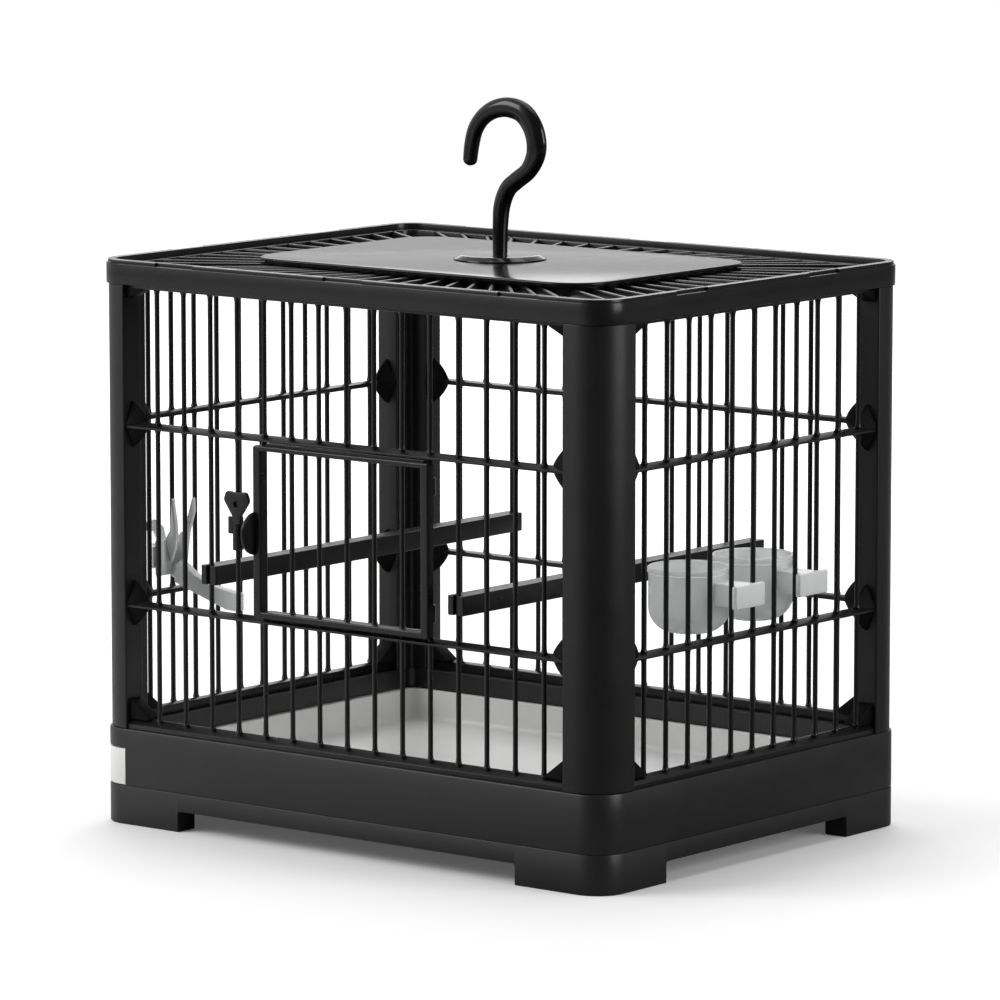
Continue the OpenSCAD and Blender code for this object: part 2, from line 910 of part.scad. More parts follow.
// Straight perch whose slotted ends clip round one front and one back bar
module perch(x) {
    half = half_depth - rail_front - 0.5;
    w = perch_width / 2;
    h = perch_height;
    c = perch_chamfer;
    slot = bar_radius + 0.15;
    color(black) placed() translate([x, 0, perch_level]) difference() {
        intersection() {
            rotate([90, 0, 0])
                linear_extrude(2 * half, center = true)
                    polygon([
                        [-w + c, 0], [w - c, 0], [w, c], [w, h - c],
                        [w - c, h], [-w + c, h], [-w, h - c], [-w, c]
                    ]);
            translate([-w - past, 0, 0])
                rotate([90, 0, 90])
                    linear_extrude(perch_width + 2 * past)
                        polygon([
                            [-half + c, 0], [half - c, 0], [half, c], [half, h - c],
                            [half - c, h], [-half + c, h], [-half, h - c], [-half, c]
                        ]);
        }
        for (sy = [-1, 1])
            translate([-slot, sy * (bar_line + 4) - 5.5, -past])
                cube([2 * slot, 11, h + 2 * past]);
    }
}

module perch_left() {
    perch(perch_left_x);
}

module perch_right() {
    perch(perch_right_x);
}

// Feeding cup: a round-bottomed shell, its neck between two bars and the clip tab outside
module cup(y) {
    axis_x = half_length - cup_inset;
    neck_width = bar_pitch - bar_diameter - 2;
    clip_low = cup_level + clip_rise;
    clip_inner = half_length - bar_depth + bar_radius + slot_gap;
    clip_outer = half_length + 0.5;
    tab = bar_pitch + 2 * clip_lap;
    inner_round = cup_round - cup_wall;
    color(clear_grey) placed() translate([0, y, 0]) {
        translate([axis_x, 0, cup_level])
            rotate_extrude($fn = 96)
                difference() {
                    union() {
                        cup_profile(cup_radius, 0, cup_round);
                        translate([0, cup_height - collar_height])
                            square([cup_radius + 0.5, collar_height]);
                    }
                    cup_profile(cup_radius - cup_wall, cup_wall, inner_round);
                    translate([0, cup_height])
                        square([cup_radius, past]);
                }
        translate([axis_x + cup_radius - 0.8, -neck_width / 2, clip_low])
            cube([clip_outer - axis_x - cup_radius, neck_width, clip_height]);
        translate([clip_inner, clip_shift - tab / 2, clip_low])
            cube([clip_outer - clip_inner, tab, clip_height]);
    }
}

// Half section of a cup: straight side, round lower edge, flat bottom
module cup_profile(radius, low, round_edge) {
    square_high = cup_height - low - round_edge;
    translate([0, low])
        square([radius - round_edge, round_edge + past]);
    translate([0, low + round_edge])
        square([radius, square_high + 0.001]);
    intersection() {
        translate([radius - round_edge, low + round_edge])
            circle(round_edge, $fn = 64);
        square([radius + past, cup_height]);
    }
}

module cup_front() {
    cup(cup_front_y);
}

module cup_back() {
    cup(cup_back_y);
}

// Flat blade drawn in the X and height plane, its middle at the given Y
module blade(y, thickness, outline) {
    translate([0, y + thickness / 2, 0])
        rotate([90, 0, 0])
            linear_extrude(thickness)
                polygon(outline);
}

// Fruit fork clipped through the left wall: two leaf spikes, an outer prong and an arm
module fruit_fork() {
    wall_x = -half_length + bar_depth;
    inner_face = bar_radius + slot_gap;
    neck = bar_pitch - bar_diameter - 2;
    root_y = neck / 2;
    outer = 2.4;
    outer_width = 12;
    root_height = 20;
    arm_thickness = 7;
    color(clear_grey) placed() translate([wall_x, fork_gap_y, fork_level]) {
        translate([-inner_face - outer, -outer_width, 0])
            cube([outer, neck / 2 + outer_width, fork_tab]);
        translate([-inner_face - 1, -neck / 2, 1])
            cube([2 * inner_face + 3, neck, fork_tab - 2]);
        translate([inner_face, -neck / 2, -4])
            cube([3, neck, root_height]);
        translate([inner_face, 0, 0]) {
            blade(root_y, fork_thickness, [
                [0, -4], [5.5, -3], [8.5, 7], [7, 17], [3.6, 33], [1.4, 21], [0, 12]
            ]);
            blade(root_y + 1.2, fork_thickness, [
                [3, -2], [9.5, 3], [14.2, 15], [12.8, 34], [8.6, 21], [5, 9]
            ]);
            blade(root_y - 1.5, arm_thickness, [
                [2, -6], [7, 4], [12, 1.5], [45, -8], [45, -17], [38, -16.5], [10, -8.5]
            ]);
        }
        translate([-inner_face - outer, -outer_width, fork_tab - 1])
            rotate([90, 0, 90])
                linear_extrude(outer)
                    polygon([[0, 0], [9, 0], [6.5, 5], [-1.5, 11.5], [1.5, 4]]);
    }
}

base_bottom();
base_body();
tray();
post_front_left();
post_front_right();
post_back_left();
post_back_right();
wall_front();
wall_back();
wall_left();
wall_right();
roof_frame();
roof_plate();
hook_flange();
hook();
hook_washer();
hook_nut();
door();
door_latch();
perch_left();
perch_right();
cup_front();
cup_back();
fruit_fork();
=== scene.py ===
"""Bird travel carrier: the finish and the moulded detail of every piece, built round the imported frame.

Lengths are in metres. Every surface is worked out with numpy, as a grid of points whose two directions
are a section and the path that carries it.
"""
import math

import bmesh
import bpy
import numpy as np
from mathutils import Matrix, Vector


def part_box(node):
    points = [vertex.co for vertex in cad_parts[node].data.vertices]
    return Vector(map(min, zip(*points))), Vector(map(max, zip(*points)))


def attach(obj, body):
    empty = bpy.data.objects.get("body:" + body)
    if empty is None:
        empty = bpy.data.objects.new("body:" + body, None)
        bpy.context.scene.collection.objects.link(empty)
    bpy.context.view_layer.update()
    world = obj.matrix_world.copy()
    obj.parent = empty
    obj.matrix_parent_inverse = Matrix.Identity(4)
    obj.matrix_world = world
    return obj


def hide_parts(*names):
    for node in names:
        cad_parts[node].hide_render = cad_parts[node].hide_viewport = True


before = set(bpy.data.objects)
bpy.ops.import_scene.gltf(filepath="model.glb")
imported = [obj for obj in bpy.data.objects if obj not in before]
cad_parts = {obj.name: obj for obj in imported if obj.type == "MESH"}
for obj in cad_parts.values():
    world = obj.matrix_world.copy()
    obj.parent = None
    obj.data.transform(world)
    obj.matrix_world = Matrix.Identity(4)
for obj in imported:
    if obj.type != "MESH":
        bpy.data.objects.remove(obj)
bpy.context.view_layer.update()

MM = 0.001
WELD, SHARP_ANGLE = 1e-7, 32


def mm(*sizes):
    """Sizes in millimetres, as an array in metres."""
    return np.array(sizes) * MM


# The body: its outline and its levels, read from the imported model
body_low, body_high = (np.array(corner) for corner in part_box("base_body"))
HALF_X, HALF_Y = (body_high - body_low)[:2] / 2
MIDDLE_Y = (body_high + body_low)[1] / 2
SEAM_Z, BASE_Z = body_low[2], body_high[2]
POST_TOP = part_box("post_front_left")[1][2]
ROOF_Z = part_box("roof_frame")[1][2]
CORNER, POST_CORNER = mm(15, 17.6)
POST_THICK, BASE_WALL = mm(12, 12)
BODY = HALF_X, HALF_Y, CORNER

# Walls: bars and rails
BAR_RADIUS, PITCH, BAR_DEPTH = mm(1.15, 16.25, 3.75)
BAR_FLARE, FLARE_REACH = mm(0.5, 0.8)
RAIL_FRONT, RAIL_BACK = mm(1, 7.5)
RAIL_LIP, RAIL_HEIGHT = mm(1, 2.9)
RIDGE_BACK, RIDGE_FALL = mm(2.4, 0.9)
LOWER_RAIL, UPPER_RAIL = mm(105.8, 189.9)
LEDGE_LIP, LEDGE_HEIGHT = mm(2.2, 5.1)
CROWN_HEIGHT, CROWN_DEPTH, CROWN_FRONT = mm(4, 4.2, 2.3)
WALL_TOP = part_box("wall_front")[1][2]
BARS_LONG, BARS_DEEP, DOOR_BARS = 7, 5, 3
BAR_LINE = HALF_Y - BAR_DEPTH


def grid(points, wrap_rows=False, wrap_columns=False, caps=False):
    """Surface over a grid of points (rows, columns, 3) with one quad per cell. Caps close the first and the
    last row."""
    rows, columns = points.shape[:2]
    r = np.arange(rows if wrap_rows else rows - 1)[:, None]
    c = np.arange(columns if wrap_columns else columns - 1)[None, :]
    down, right = (r + 1) % rows, (c + 1) % columns
    quads = np.stack(
        np.broadcast_arrays(r * columns + c, r * columns + right, down * columns + right, down * columns + c),
        axis=-1,
    ).reshape(-1, 4)
    ends = [np.arange(columns)[::-1], (rows - 1) * columns + np.arange(columns)] if caps else []
    return points.reshape(-1, 3), quads, ends


def repeated(part, offsets):
    """The same surface moved to each of several places (count, 3)."""
    points, quads, ends = part
    count, size = len(offsets), len(points)
    copies = (points[None] + np.asarray(offsets)[:, None]).reshape(-1, 3)
    shift = (np.arange(count) * size)[:, None, None]
    ends = [end + k * size for k in range(count) for end in ends]
    return copies, (quads[None] + shift).reshape(-1, 4), ends


def placed(part, axes, origin=(0, 0, 0)):
    """A surface drawn in its own three directions, laid along the given axes from origin."""
    points, quads, ends = part
    return points @ np.array(axes, float) + np.array(origin, float), quads, ends


def moved(part, x=0, y=0, z=0):
    """A surface moved along the three directions."""
    return part[0] + np.array([x, y, z], float), part[1], part[2]


def joined(parts):
    """Several surfaces as one, their faces renumbered."""
    points, quads, ends, start = [], [], [], 0
    for part in parts:
        points.append(part[0])
        quads.append(part[1] + start)
        ends.extend(end + start for end in part[2])
        start += len(part[0])
    return np.vstack(points), np.vstack(quads), ends


def linked(name, data):
    """A new object in the scene."""
    made = bpy.data.objects.new(name, data)
    bpy.context.collection.objects.link(made)
    return made


def piece(name, parts, body, nodes, first, others=(), second=None):
    """Makes a mesh object of the surfaces, welds it, turns its faces outwards and rides it on its body. The
    surfaces in parts take the first material, and those in others the second."""
    points, quads, ends = joined(parts + list(others))
    mesh = bpy.data.meshes.new(name)
    mesh.from_pydata(points.tolist(), [], quads.tolist() + [end.tolist() for end in ends])
    if second:
        own = [sum(len(part[k]) for part in parts) for k in (1, 2)]
        finish = np.concatenate([np.arange(len(quads)) >= own[0], np.arange(len(ends)) >= own[1]])
        mesh.polygons.foreach_set("material_index", finish.astype(np.int32))
    work = bmesh.new()
    work.from_mesh(mesh)
    bmesh.ops.remove_doubles(work, verts=work.verts, dist=WELD)
    bmesh.ops.dissolve_degenerate(work, edges=work.edges, dist=WELD)
    bmesh.ops.recalc_face_normals(work, faces=work.faces)
    work.to_mesh(mesh)
    work.free()
    mesh.polygons.foreach_set("use_smooth", np.ones(len(mesh.polygons), bool))
    mesh.set_sharp_from_angle(angle=math.radians(SHARP_ANGLE))
    for finish in (first, second):
        if finish:
            mesh.materials.append(finish)
    made = linked(name, mesh)
    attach(made, body)
    if nodes:
        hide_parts(*nodes)
    return made


def rounded(corners, radius, steps=4):
    """Closed outline through corners (n, 2), each turned on an arc: the arc's ends lie radius / tan(half the
    corner's angle) from the corner, and its points are blended along the circle between them."""
    corners = np.array(corners, float)
    radius = np.broadcast_to(radius, len(corners)).astype(float)[:, None]
    back = np.roll(corners, 1, axis=0) - corners
    ahead = np.roll(corners, -1, axis=0) - corners
    back /= np.linalg.norm(back, axis=1, keepdims=True)
    ahead /= np.linalg.norm(ahead, axis=1, keepdims=True)
    half = np.arccos(np.clip((back * ahead).sum(axis=1, keepdims=True), -1, 1)) / 2
    reach = radius / np.tan(half)
    bisector = back + ahead
    bisector /= np.linalg.norm(bisector, axis=1, keepdims=True)
    centre = corners + bisector * radius / np.sin(half)
    start, end = corners + back * reach - centre, corners + ahead * reach - centre
    turn = (np.pi - 2 * half)[:, None]
    share = np.linspace(0, 1, steps + 1)[None, :, None]
    arc = (np.sin((1 - share) * turn) * start[:, None] + np.sin(share * turn) * end[:, None]) / np.sin(turn)
    return (centre[:, None] + arc).reshape(-1, 2)


def oblong(x0, x1, y0, y1, radius, steps=4):
    """Round-cornered rectangle from x0 to x1 and from y0 to y1."""
    return rounded([[x0, y0], [x1, y0], [x1, y1], [x0, y1]], radius, steps)


def outward(outline):
    """Unit direction out of a closed outline (n, 2) drawn anticlockwise, at each of its points."""
    along = np.roll(outline, -1, axis=0) - np.roll(outline, 1, axis=0)
    normal = np.stack([along[:, 1], -along[:, 0]], axis=1)
    return normal / np.linalg.norm(normal, axis=1, keepdims=True)


def quarter(radius, steps=5):
    """Quarter circle that rounds an edge: at the angle a its points lie radius (1 - sin a) and
    radius (1 - cos a) in from the two faces."""
    a = np.linspace(0, np.pi / 2, steps + 1)
    return radius * (1 - np.sin(a)), radius * (1 - np.cos(a))


def lifted(flat, third):
    """Rings of flat points (rings, points, 2), each ring with its own third coordinate."""
    return np.concatenate([flat, np.broadcast_to(third[:, None, None], flat.shape[:2] + (1,))], axis=2)


def prism(outline, low, high, edge=0.4 * MM, steps=3):
    """Solid of an outline between two heights, its end edges turned on a quarter circle of radius edge."""
    inset, depth = quarter(edge, steps)
    inset = np.concatenate([inset, inset[::-1]])
    flat = outline[None] - inset[:, None, None] * outward(outline)[None]
    rows = lifted(flat, np.concatenate([low + depth, (high - depth)[::-1]]))
    return grid(rows, wrap_columns=True, caps=True)


def turned(profile, sides=48, caps=False):
    """Surface of revolution about the third axis of a profile (n, 2) of radius and height."""
    profile = np.array(profile, float)
    a = np.linspace(0, 2 * np.pi, sides, endpoint=False)
    radius, height = profile[:, 0, None], profile[:, 1, None]
    rows = np.stack([radius * np.cos(a), radius * np.sin(a), height + 0 * a], axis=2)
    return grid(rows, wrap_columns=True, caps=caps)


def outline_length(half_x, half_y, radius):
    """Lengths of the four straight and four round stretches of a round-cornered rectangle, in order."""
    bend = np.pi * radius / 2
    return np.array([2 * (half_x - radius), bend, 2 * (half_y - radius), bend] * 2)


def on_outline(s, half_x, half_y, radius):
    """Point and outward direction at the distance s along a round-cornered rectangle. The way starts at the
    left end of the front's straight stretch and runs anticlockwise. On a corner its heading turns by
    s / radius."""
    lengths = outline_length(half_x, half_y, radius)
    starts = np.concatenate([[0], np.cumsum(lengths)])
    s = np.mod(np.asarray(s, float), starts[-1])
    stretch = np.clip(np.searchsorted(starts, s, side="right") - 1, 0, 7)
    along = s - starts[stretch]
    side, bends = stretch // 2, stretch % 2 == 1
    heading = side * np.pi / 2 + np.where(bends, along / radius, 0)
    out = np.stack([np.sin(heading), -np.cos(heading)], axis=1)
    x, y = half_x - radius, half_y - radius
    centres = np.array([[x, -y], [x, y], [-x, y], [-x, -y]])
    travel = np.stack([np.cos(heading), np.sin(heading)], axis=1)
    on_bend = centres[side] + radius * out
    on_side = centres[side - 1] + radius * out + along[:, None] * travel
    return np.where(bends[:, None], on_bend, on_side), out


def corner_stations(half_x, half_y, radius, steps=12):
    """Distances along a round-cornered rectangle at which its corners need points."""
    lengths = outline_length(half_x, half_y, radius)
    starts = np.cumsum(lengths) - lengths
    return np.concatenate([starts[k] + np.linspace(0, lengths[k], steps + 1) for k in (1, 3, 5, 7)])


def along_body(stations, *values):
    """Points and outward directions at distances along the body's outline, given in parts and put in order, and
    the values that go with them."""
    stations = np.concatenate(stations)
    order = np.argsort(stations, kind="stable")
    return *on_outline(stations[order], *BODY), *(np.concatenate(value)[order] for value in values)


def carried(points, out, inset, height):
    """A section, given by inset and height, carried along path points. Rows are the path's points and
    columns the section's."""
    inset, height = np.broadcast_arrays(np.atleast_2d(inset), np.atleast_2d(height))
    shape = (len(points), inset.shape[1])
    inset, height = np.broadcast_to(inset, shape), np.broadcast_to(height, shape)
    flat = points[:, None] - inset[..., None] * out[:, None]
    return np.concatenate([flat, height[..., None]], axis=2)


def stack(points, out, inset, height, **options):
    """A section carried along a closed path round the body's middle, as a surface whose rows are rings."""
    rows = np.swapaxes(carried(points, out, inset, height), 0, 1)
    return moved(grid(rows, wrap_columns=True, **options), y=MIDDLE_Y)


# Materials

def material(name):
    """An empty node material and its shader."""
    made = bpy.data.materials.new(name)
    made.use_nodes = True
    return made, made.node_tree, made.node_tree.nodes["Principled BSDF"]


def node(tree, kind, *sources, **values):
    """A shader node whose first inputs take the sources, its other inputs and properties set by name."""
    made = tree.nodes.new(kind)
    for key, value in values.items():
        if key in made.inputs:
            made.inputs[key].default_value = value
        else:
            setattr(made, key, value)
    for slot, source in enumerate(sources):
        tree.links.new(source, made.inputs[slot])
    return made


def noise(tree, scale, detail):
    """Noise over Object coordinates, in waves per metre."""
    place = node(tree, "ShaderNodeTexCoord").outputs["Object"]
    return node(tree, "ShaderNodeTexNoise", place, Scale=scale, Detail=detail, Roughness=0.5).outputs["Fac"]


def scaled(tree, source, low, high, start=0.0, end=1.0, kind="LINEAR"):
    """Maps a value from start and end to low and high."""
    made = node(tree, "ShaderNodeMapRange", source, interpolation_type=kind)
    for name, value in zip(("From Min", "From Max", "To Min", "To Max"), (start, end, low, high)):
        made.inputs[name].default_value = value
    return made.outputs["Result"]


def spread(tree, source, low, high):
    """Maps noise, which lies mostly between 0.3 and 0.7, onto a range."""
    return scaled(tree, source, low, high, 0.3, 0.7)


def tinted(tree, source, dark, light):
    """Colour between two greys or tints, by noise."""
    made = node(tree, "ShaderNodeMix", spread(tree, source, 0, 1), data_type="RGBA")
    made.inputs[6].default_value = (*dark, 1)
    made.inputs[7].default_value = (*light, 1)
    return made.outputs[2]


def bumped(tree, shader, source, distance):
    """Raises the surface by noise, whose height is given in metres."""
    made = node(tree, "ShaderNodeBump", Strength=1.0, Distance=distance)
    tree.links.new(source, made.inputs["Height"])
    if shader.inputs["Normal"].is_linked:
        tree.links.new(shader.inputs["Normal"].links[0].from_socket, made.inputs["Normal"])
    tree.links.new(made.outputs["Normal"], shader.inputs["Normal"])


# Moulded plastic's noises, in waves per metre and octaves: tint, polish, grain, waves of a cooled face
TINT, POLISH, GRAIN, WAVES = (38, 4), (90, 5), (1400, 2), (24, 1)
WAVE_HEIGHT = 0.06 * MM


def moulded_plastic(name, dark, light, smooth, rough, grain, level=0.5):
    """Injection-moulded plastic: a tint and a polish that vary from dark to light and from smooth to rough,
    a fine grain of the given height, and the slight waves of a cooled face."""
    made, tree, shader = material(name)
    tree.links.new(tinted(tree, noise(tree, *TINT), dark, light), shader.inputs["Base Color"])
    tree.links.new(spread(tree, noise(tree, *POLISH), smooth, rough), shader.inputs["Roughness"])
    shader.inputs["Specular IOR Level"].default_value = level
    bumped(tree, shader, noise(tree, *GRAIN), grain)
    bumped(tree, shader, noise(tree, *WAVES), WAVE_HEIGHT)
    return made


# Posts, base, ears and gussets, bars, hook and flange, cover plate, and tray, in this order
satin_black = moulded_plastic("satin_black", (0.01,) * 3, (0.014,) * 3, 0.38, 0.46, 0.012 * MM, 0.34)
base_black = moulded_plastic("base_black", (0.01,) * 3, (0.014,) * 3, 0.36, 0.44, 0.012 * MM, 0.5)
matte_black = moulded_plastic("matte_black", (0.005,) * 3, (0.008,) * 3, 0.5, 0.6, 0.012 * MM, 0.06)
bar_black = moulded_plastic("bar_black", (0.007,) * 3, (0.01,) * 3, 0.26, 0.34, 0.006 * MM, 0.34)
polished_black = moulded_plastic("polished_black", (0.004,) * 3, (0.006,) * 3, 0.12, 0.18, 0.002 * MM, 0.38)
cover_black = moulded_plastic("cover_black", (0.006,) * 3, (0.009,) * 3, 0.14, 0.18, 0.002 * MM, 0.16)
tray_white = moulded_plastic("tray_white", (0.84, 0.84, 0.83), (0.89, 0.89, 0.88), 0.32, 0.42, 0.008 * MM)


# Frosted plastic's noises, as above
FROST_TINT, FROST_POLISH, FROST_GRAIN = (60, 3), (140, 4), (900, 2)
FROST_DARK, FROST_LIGHT = (0.9, 0.91, 0.91), (0.95, 0.96, 0.96)


def frosted_plastic(name, clear):
    """Milky half-clear plastic: some light passes, the share clear, and the rest is scattered back."""
    made, tree, shader = material(name)
    tint = tinted(tree, noise(tree, *FROST_TINT), FROST_DARK, FROST_LIGHT)
    tree.links.new(tint, shader.inputs["Base Color"])
    tree.links.new(spread(tree, noise(tree, *FROST_POLISH), 0.3, 0.42), shader.inputs["Roughness"])
    shader.inputs["Transmission Weight"].default_value = clear
    shader.inputs["IOR"].default_value = 1.49
    bumped(tree, shader, noise(tree, *FROST_GRAIN), 0.01 * MM)
    return made


frosted = frosted_plastic("frosted", 0.55)
milky = frosted_plastic("milky", 0.08)


# Base and tray

FOOT_LENGTH, FOOT_DEPTH, FOOT_HEIGHT, FOOT_FILLET = mm(50, 46, 9.7, 1.4)
SKIN, SEAM = mm(2.5, 0.45)


def side_station(side, position):
    """Distance along the body's outline of a place on one side: 0 front, 1 right, 2 back, 3 left, where the
    position runs with the outline from the side's middle."""
    lengths = outline_length(*BODY)
    return lengths[: 2 * side].sum() + lengths[2 * side] / 2 + position


def base_bottom():
    """Skirt, floor and feet in one stack of rings. A foot's end is a step in the ring's lower edge: it rises
    straight, then along a quarter circle into the skirt's edge."""
    corners = corner_stations(*BODY)
    stations, low, inner = [corners], [0 * corners], [0 * corners + BASE_WALL]
    from_top, from_side = quarter(FOOT_FILLET)
    away = np.concatenate([[0, 0], from_side[1:]])
    rise = np.concatenate([[0, FOOT_HEIGHT - FOOT_FILLET], FOOT_HEIGHT - from_top[1:]])
    wall = np.full(len(away), SKIN + MM)
    wall[0] = BASE_WALL
    for side in range(4):
        gap = (HALF_X - FOOT_LENGTH) if side % 2 == 0 else (HALF_Y - FOOT_DEPTH)
        for sign in (-1, 1):
            order = slice(None, None, -sign)
            stations.append((side_station(side, sign * gap) - sign * away)[order])
            low.append(rise[order])
            inner.append(wall[order])
    points, out, low, inner = along_body(stations, low, inner)
    edge, zero = 0.6 * MM, 0 * low
    inset = [inner, inner, inner - edge] + [zero + d for d in (edge, 0.25 * edge, 0, 0, 0.3 * SEAM, SEAM)]
    height = [zero + SEAM_Z - SKIN] + [low + d for d in (edge, 0, 0, 0.25 * edge, edge)]
    height += [zero + SEAM_Z - d for d in (SEAM, 0.3 * SEAM, 0)]
    return [stack(points, out, np.stack(inset, axis=1), np.stack(height, axis=1), caps=True)]


END_REACH = 18 * MM
SLOT_TOP = SEAM_Z + 17.9 * MM


def base_body():
    """Ring whose lower edge steps up on the left, where the tray's end plate comes in."""
    corners = corner_stations(*BODY)
    cut = HALF_X - END_REACH
    before = side_station(2, cut)
    after = side_station(0, -cut) % outline_length(*BODY).sum()
    raised = (corners > before) | (corners < after), [False, True, True, False]
    points, out, raised = along_body([corners, [before, before, after, after]], raised)
    low = np.where(raised, SLOT_TOP, SEAM_Z)[:, None]
    bottom = low + np.array([0, 0.3 * SEAM, SEAM])
    edge = 0.9 * MM
    top = np.broadcast_to(BASE_Z - np.array([edge, 0.3 * edge, 0, 0, edge * 0.5]), (len(low), 5))
    middle = np.full((len(low), 1), SLOT_TOP + SEAM)
    height = np.concatenate([bottom, middle, top, middle, low], axis=1)
    inset = [SEAM, 0.3 * SEAM, 0, 0, 0, 0.3 * edge, edge, BASE_WALL - 0.5 * edge] + [BASE_WALL] * 3
    return [stack(points, out, np.array(inset), height, wrap_rows=True)]


TRAY_LOW, TRAY_GAP, TRAY_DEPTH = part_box("tray")[0][2], 0.4 * MM, 17.3 * MM
TRAY_WALL, TRAY_FLOOR, TRAY_SWEEP = mm(2.7, 2.3, 3.2)
TRAY_CORNER, TRAY_RIM = mm(6, 0.7)
END_THICK, END_EDGE, WEB_INSET = mm(3, 0.5, 8)
FINGER_WIDTH, FINGER_HEIGHT = mm(54, 8)


def tray_pan(half_x, half_y):
    """Rings from the outer underside over a rounded rim down to a floor that sweeps into the walls on a
    quarter circle."""
    points, out = on_outline(corner_stations(half_x, half_y, TRAY_CORNER, 8), half_x, half_y, TRAY_CORNER)
    side, end = quarter(TRAY_RIM)
    foot, sweep = quarter(TRAY_SWEEP)
    top = TRAY_LOW + TRAY_DEPTH
    inset = np.concatenate([side, end, TRAY_WALL - side, TRAY_WALL + sweep])
    height = np.concatenate([TRAY_LOW + end, top - side, top - end, TRAY_LOW + TRAY_FLOOR + foot])
    return stack(points, out, inset, height, caps=True)


def tray():
    """Pan, and an end plate: a C-shaped wall along the body's outline with a finger notch, which is a chord
    of a circle, and a web between the two."""
    half_x, half_y = HALF_X - BASE_WALL - TRAY_GAP, HALF_Y - BASE_WALL - TRAY_GAP
    top, thick, edge = SLOT_TOP - TRAY_GAP, END_THICK, END_EDGE
    cut = HALF_X - END_REACH + TRAY_GAP
    whole = outline_length(*BODY).sum()
    start, end = side_station(2, cut), side_station(0, -cut) + whole
    corners = corner_stations(*BODY)
    corners = corners[(corners > start) & (corners < end)]
    radius = (FINGER_WIDTH ** 2 / 4 + FINGER_HEIGHT ** 2) / (2 * FINGER_HEIGHT)
    across = np.linspace(-FINGER_WIDTH / 2, FINGER_WIDTH / 2, 25)
    notch = np.sqrt(radius ** 2 - across ** 2) - (radius - FINGER_HEIGHT)
    stations = corners, [start, end], side_station(3, 0) + across
    points, out, lift = along_body(stations, [0 * corners, [0, 0], np.maximum(notch, 0)])
    low = (TRAY_LOW + lift)[:, None]
    inset = np.array([edge, 0.3 * edge, 0, 0, 0.3 * edge, edge, thick - edge, thick, thick, thick - edge])
    upper = np.array([[top - edge, top - 0.3 * edge, top, top, top - edge]])
    height = np.concatenate([
        low + [[0, 0.3 * edge, edge]], np.broadcast_to(upper, (len(low), 5)), low + [[edge, 0]],
    ], axis=1)
    plate = grid(carried(points, out, inset, height), wrap_columns=True, caps=True)
    plan = oblong(-HALF_X + 2 * MM, -half_x + MM, WEB_INSET - half_y, half_y - WEB_INSET, 0.5 * MM)
    web = prism(plan, top - SKIN, top - 0.1 * MM)
    return [tray_pan(half_x, half_y)] + [moved(part, y=MIDDLE_Y) for part in (plate, web)]


# Posts and walls

def post(name, sx, sy):
    """Corner post: an L whose outer corner follows the body's, with softened edges and ends."""
    leg, side_leg = np.subtract(*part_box(name)[::-1])[:2]
    thick = POST_THICK
    corners = np.array([[0, 0], [leg, 0], [leg, thick], [thick, thick], [thick, side_leg], [0, side_leg]])
    radii = [POST_CORNER, 0.8 * MM, 0.8 * MM, 1.6 * MM, 0.8 * MM, 0.8 * MM]
    outline = (rounded(corners, radii, 16) - [HALF_X, HALF_Y]) * [-sx, -sy]
    if sx * sy < 0:
        outline = outline[::-1]
    return [moved(prism(outline, BASE_Z, POST_TOP, 0.5 * MM), y=MIDDLE_Y)]


def bars(xs, low, high, joints):
    """Round bars at several places along a wall. The radius grows near each rail's face by
    BAR_FLARE exp(-distance / FLARE_REACH), where a moulded bar runs into its rail."""
    near = mm(-3, -1.6, -0.8, -0.3, 0, 0.3, 0.8, 1.6, 3)
    height = np.unique(np.concatenate([[low, high]] + [np.clip(j + near, low, high) for j in joints]))
    away = np.abs(height[:, None] - np.array(joints)[None]).min(axis=1)
    radius = BAR_RADIUS + BAR_FLARE * np.exp(-away / FLARE_REACH)
    one = turned(np.stack([radius, height], axis=1), 14, caps=True)
    return repeated(one, np.stack([np.array(xs), np.full(len(xs), BAR_DEPTH), np.zeros(len(xs))], axis=1))


def along_wall(outline, low, high, edge=0.2 * MM):
    """A section drawn in depth and height, carried along the wall from low to high."""
    part = prism(outline, low, high, edge, 2)
    return placed(part, [[0, 1, 0], [0, 0, 1], [1, 0, 0]])


def rail(start, end, top, height=RAIL_HEIGHT, lip=RAIL_LIP):
    """Rail of wedge section: a low front face, a top that slopes up to a ridge, and a short slope behind it
    that falls again."""
    z = top - height
    corners = [[RAIL_FRONT, z], [RAIL_BACK, z], [RAIL_BACK, top - RIDGE_FALL], [RAIL_BACK - RIDGE_BACK, top],
               [RAIL_FRONT, z + lip]]
    return along_wall(rounded(corners, mm(0.25, 0.4, 0.3, 0.6, 0.3), 3), start, end)


EAR_HEIGHT, EAR_REACH, EAR_DOME = 13 * MM, 10 * MM, 1.35
EAR_FRONT, EAR_RIDGE = mm(0.8, 5.84)
EAR_SIDE_ROUND, EAR_END_ROUND = mm(2.6, 1.4)
GUSSET_LOW, GUSSET_TOP = mm(13, 10), mm(11.5, 5.5)
GUSSET_FRONT, GUSSET_BACK = RAIL_FRONT + 1.2 * MM, RAIL_BACK + 2.5 * MM


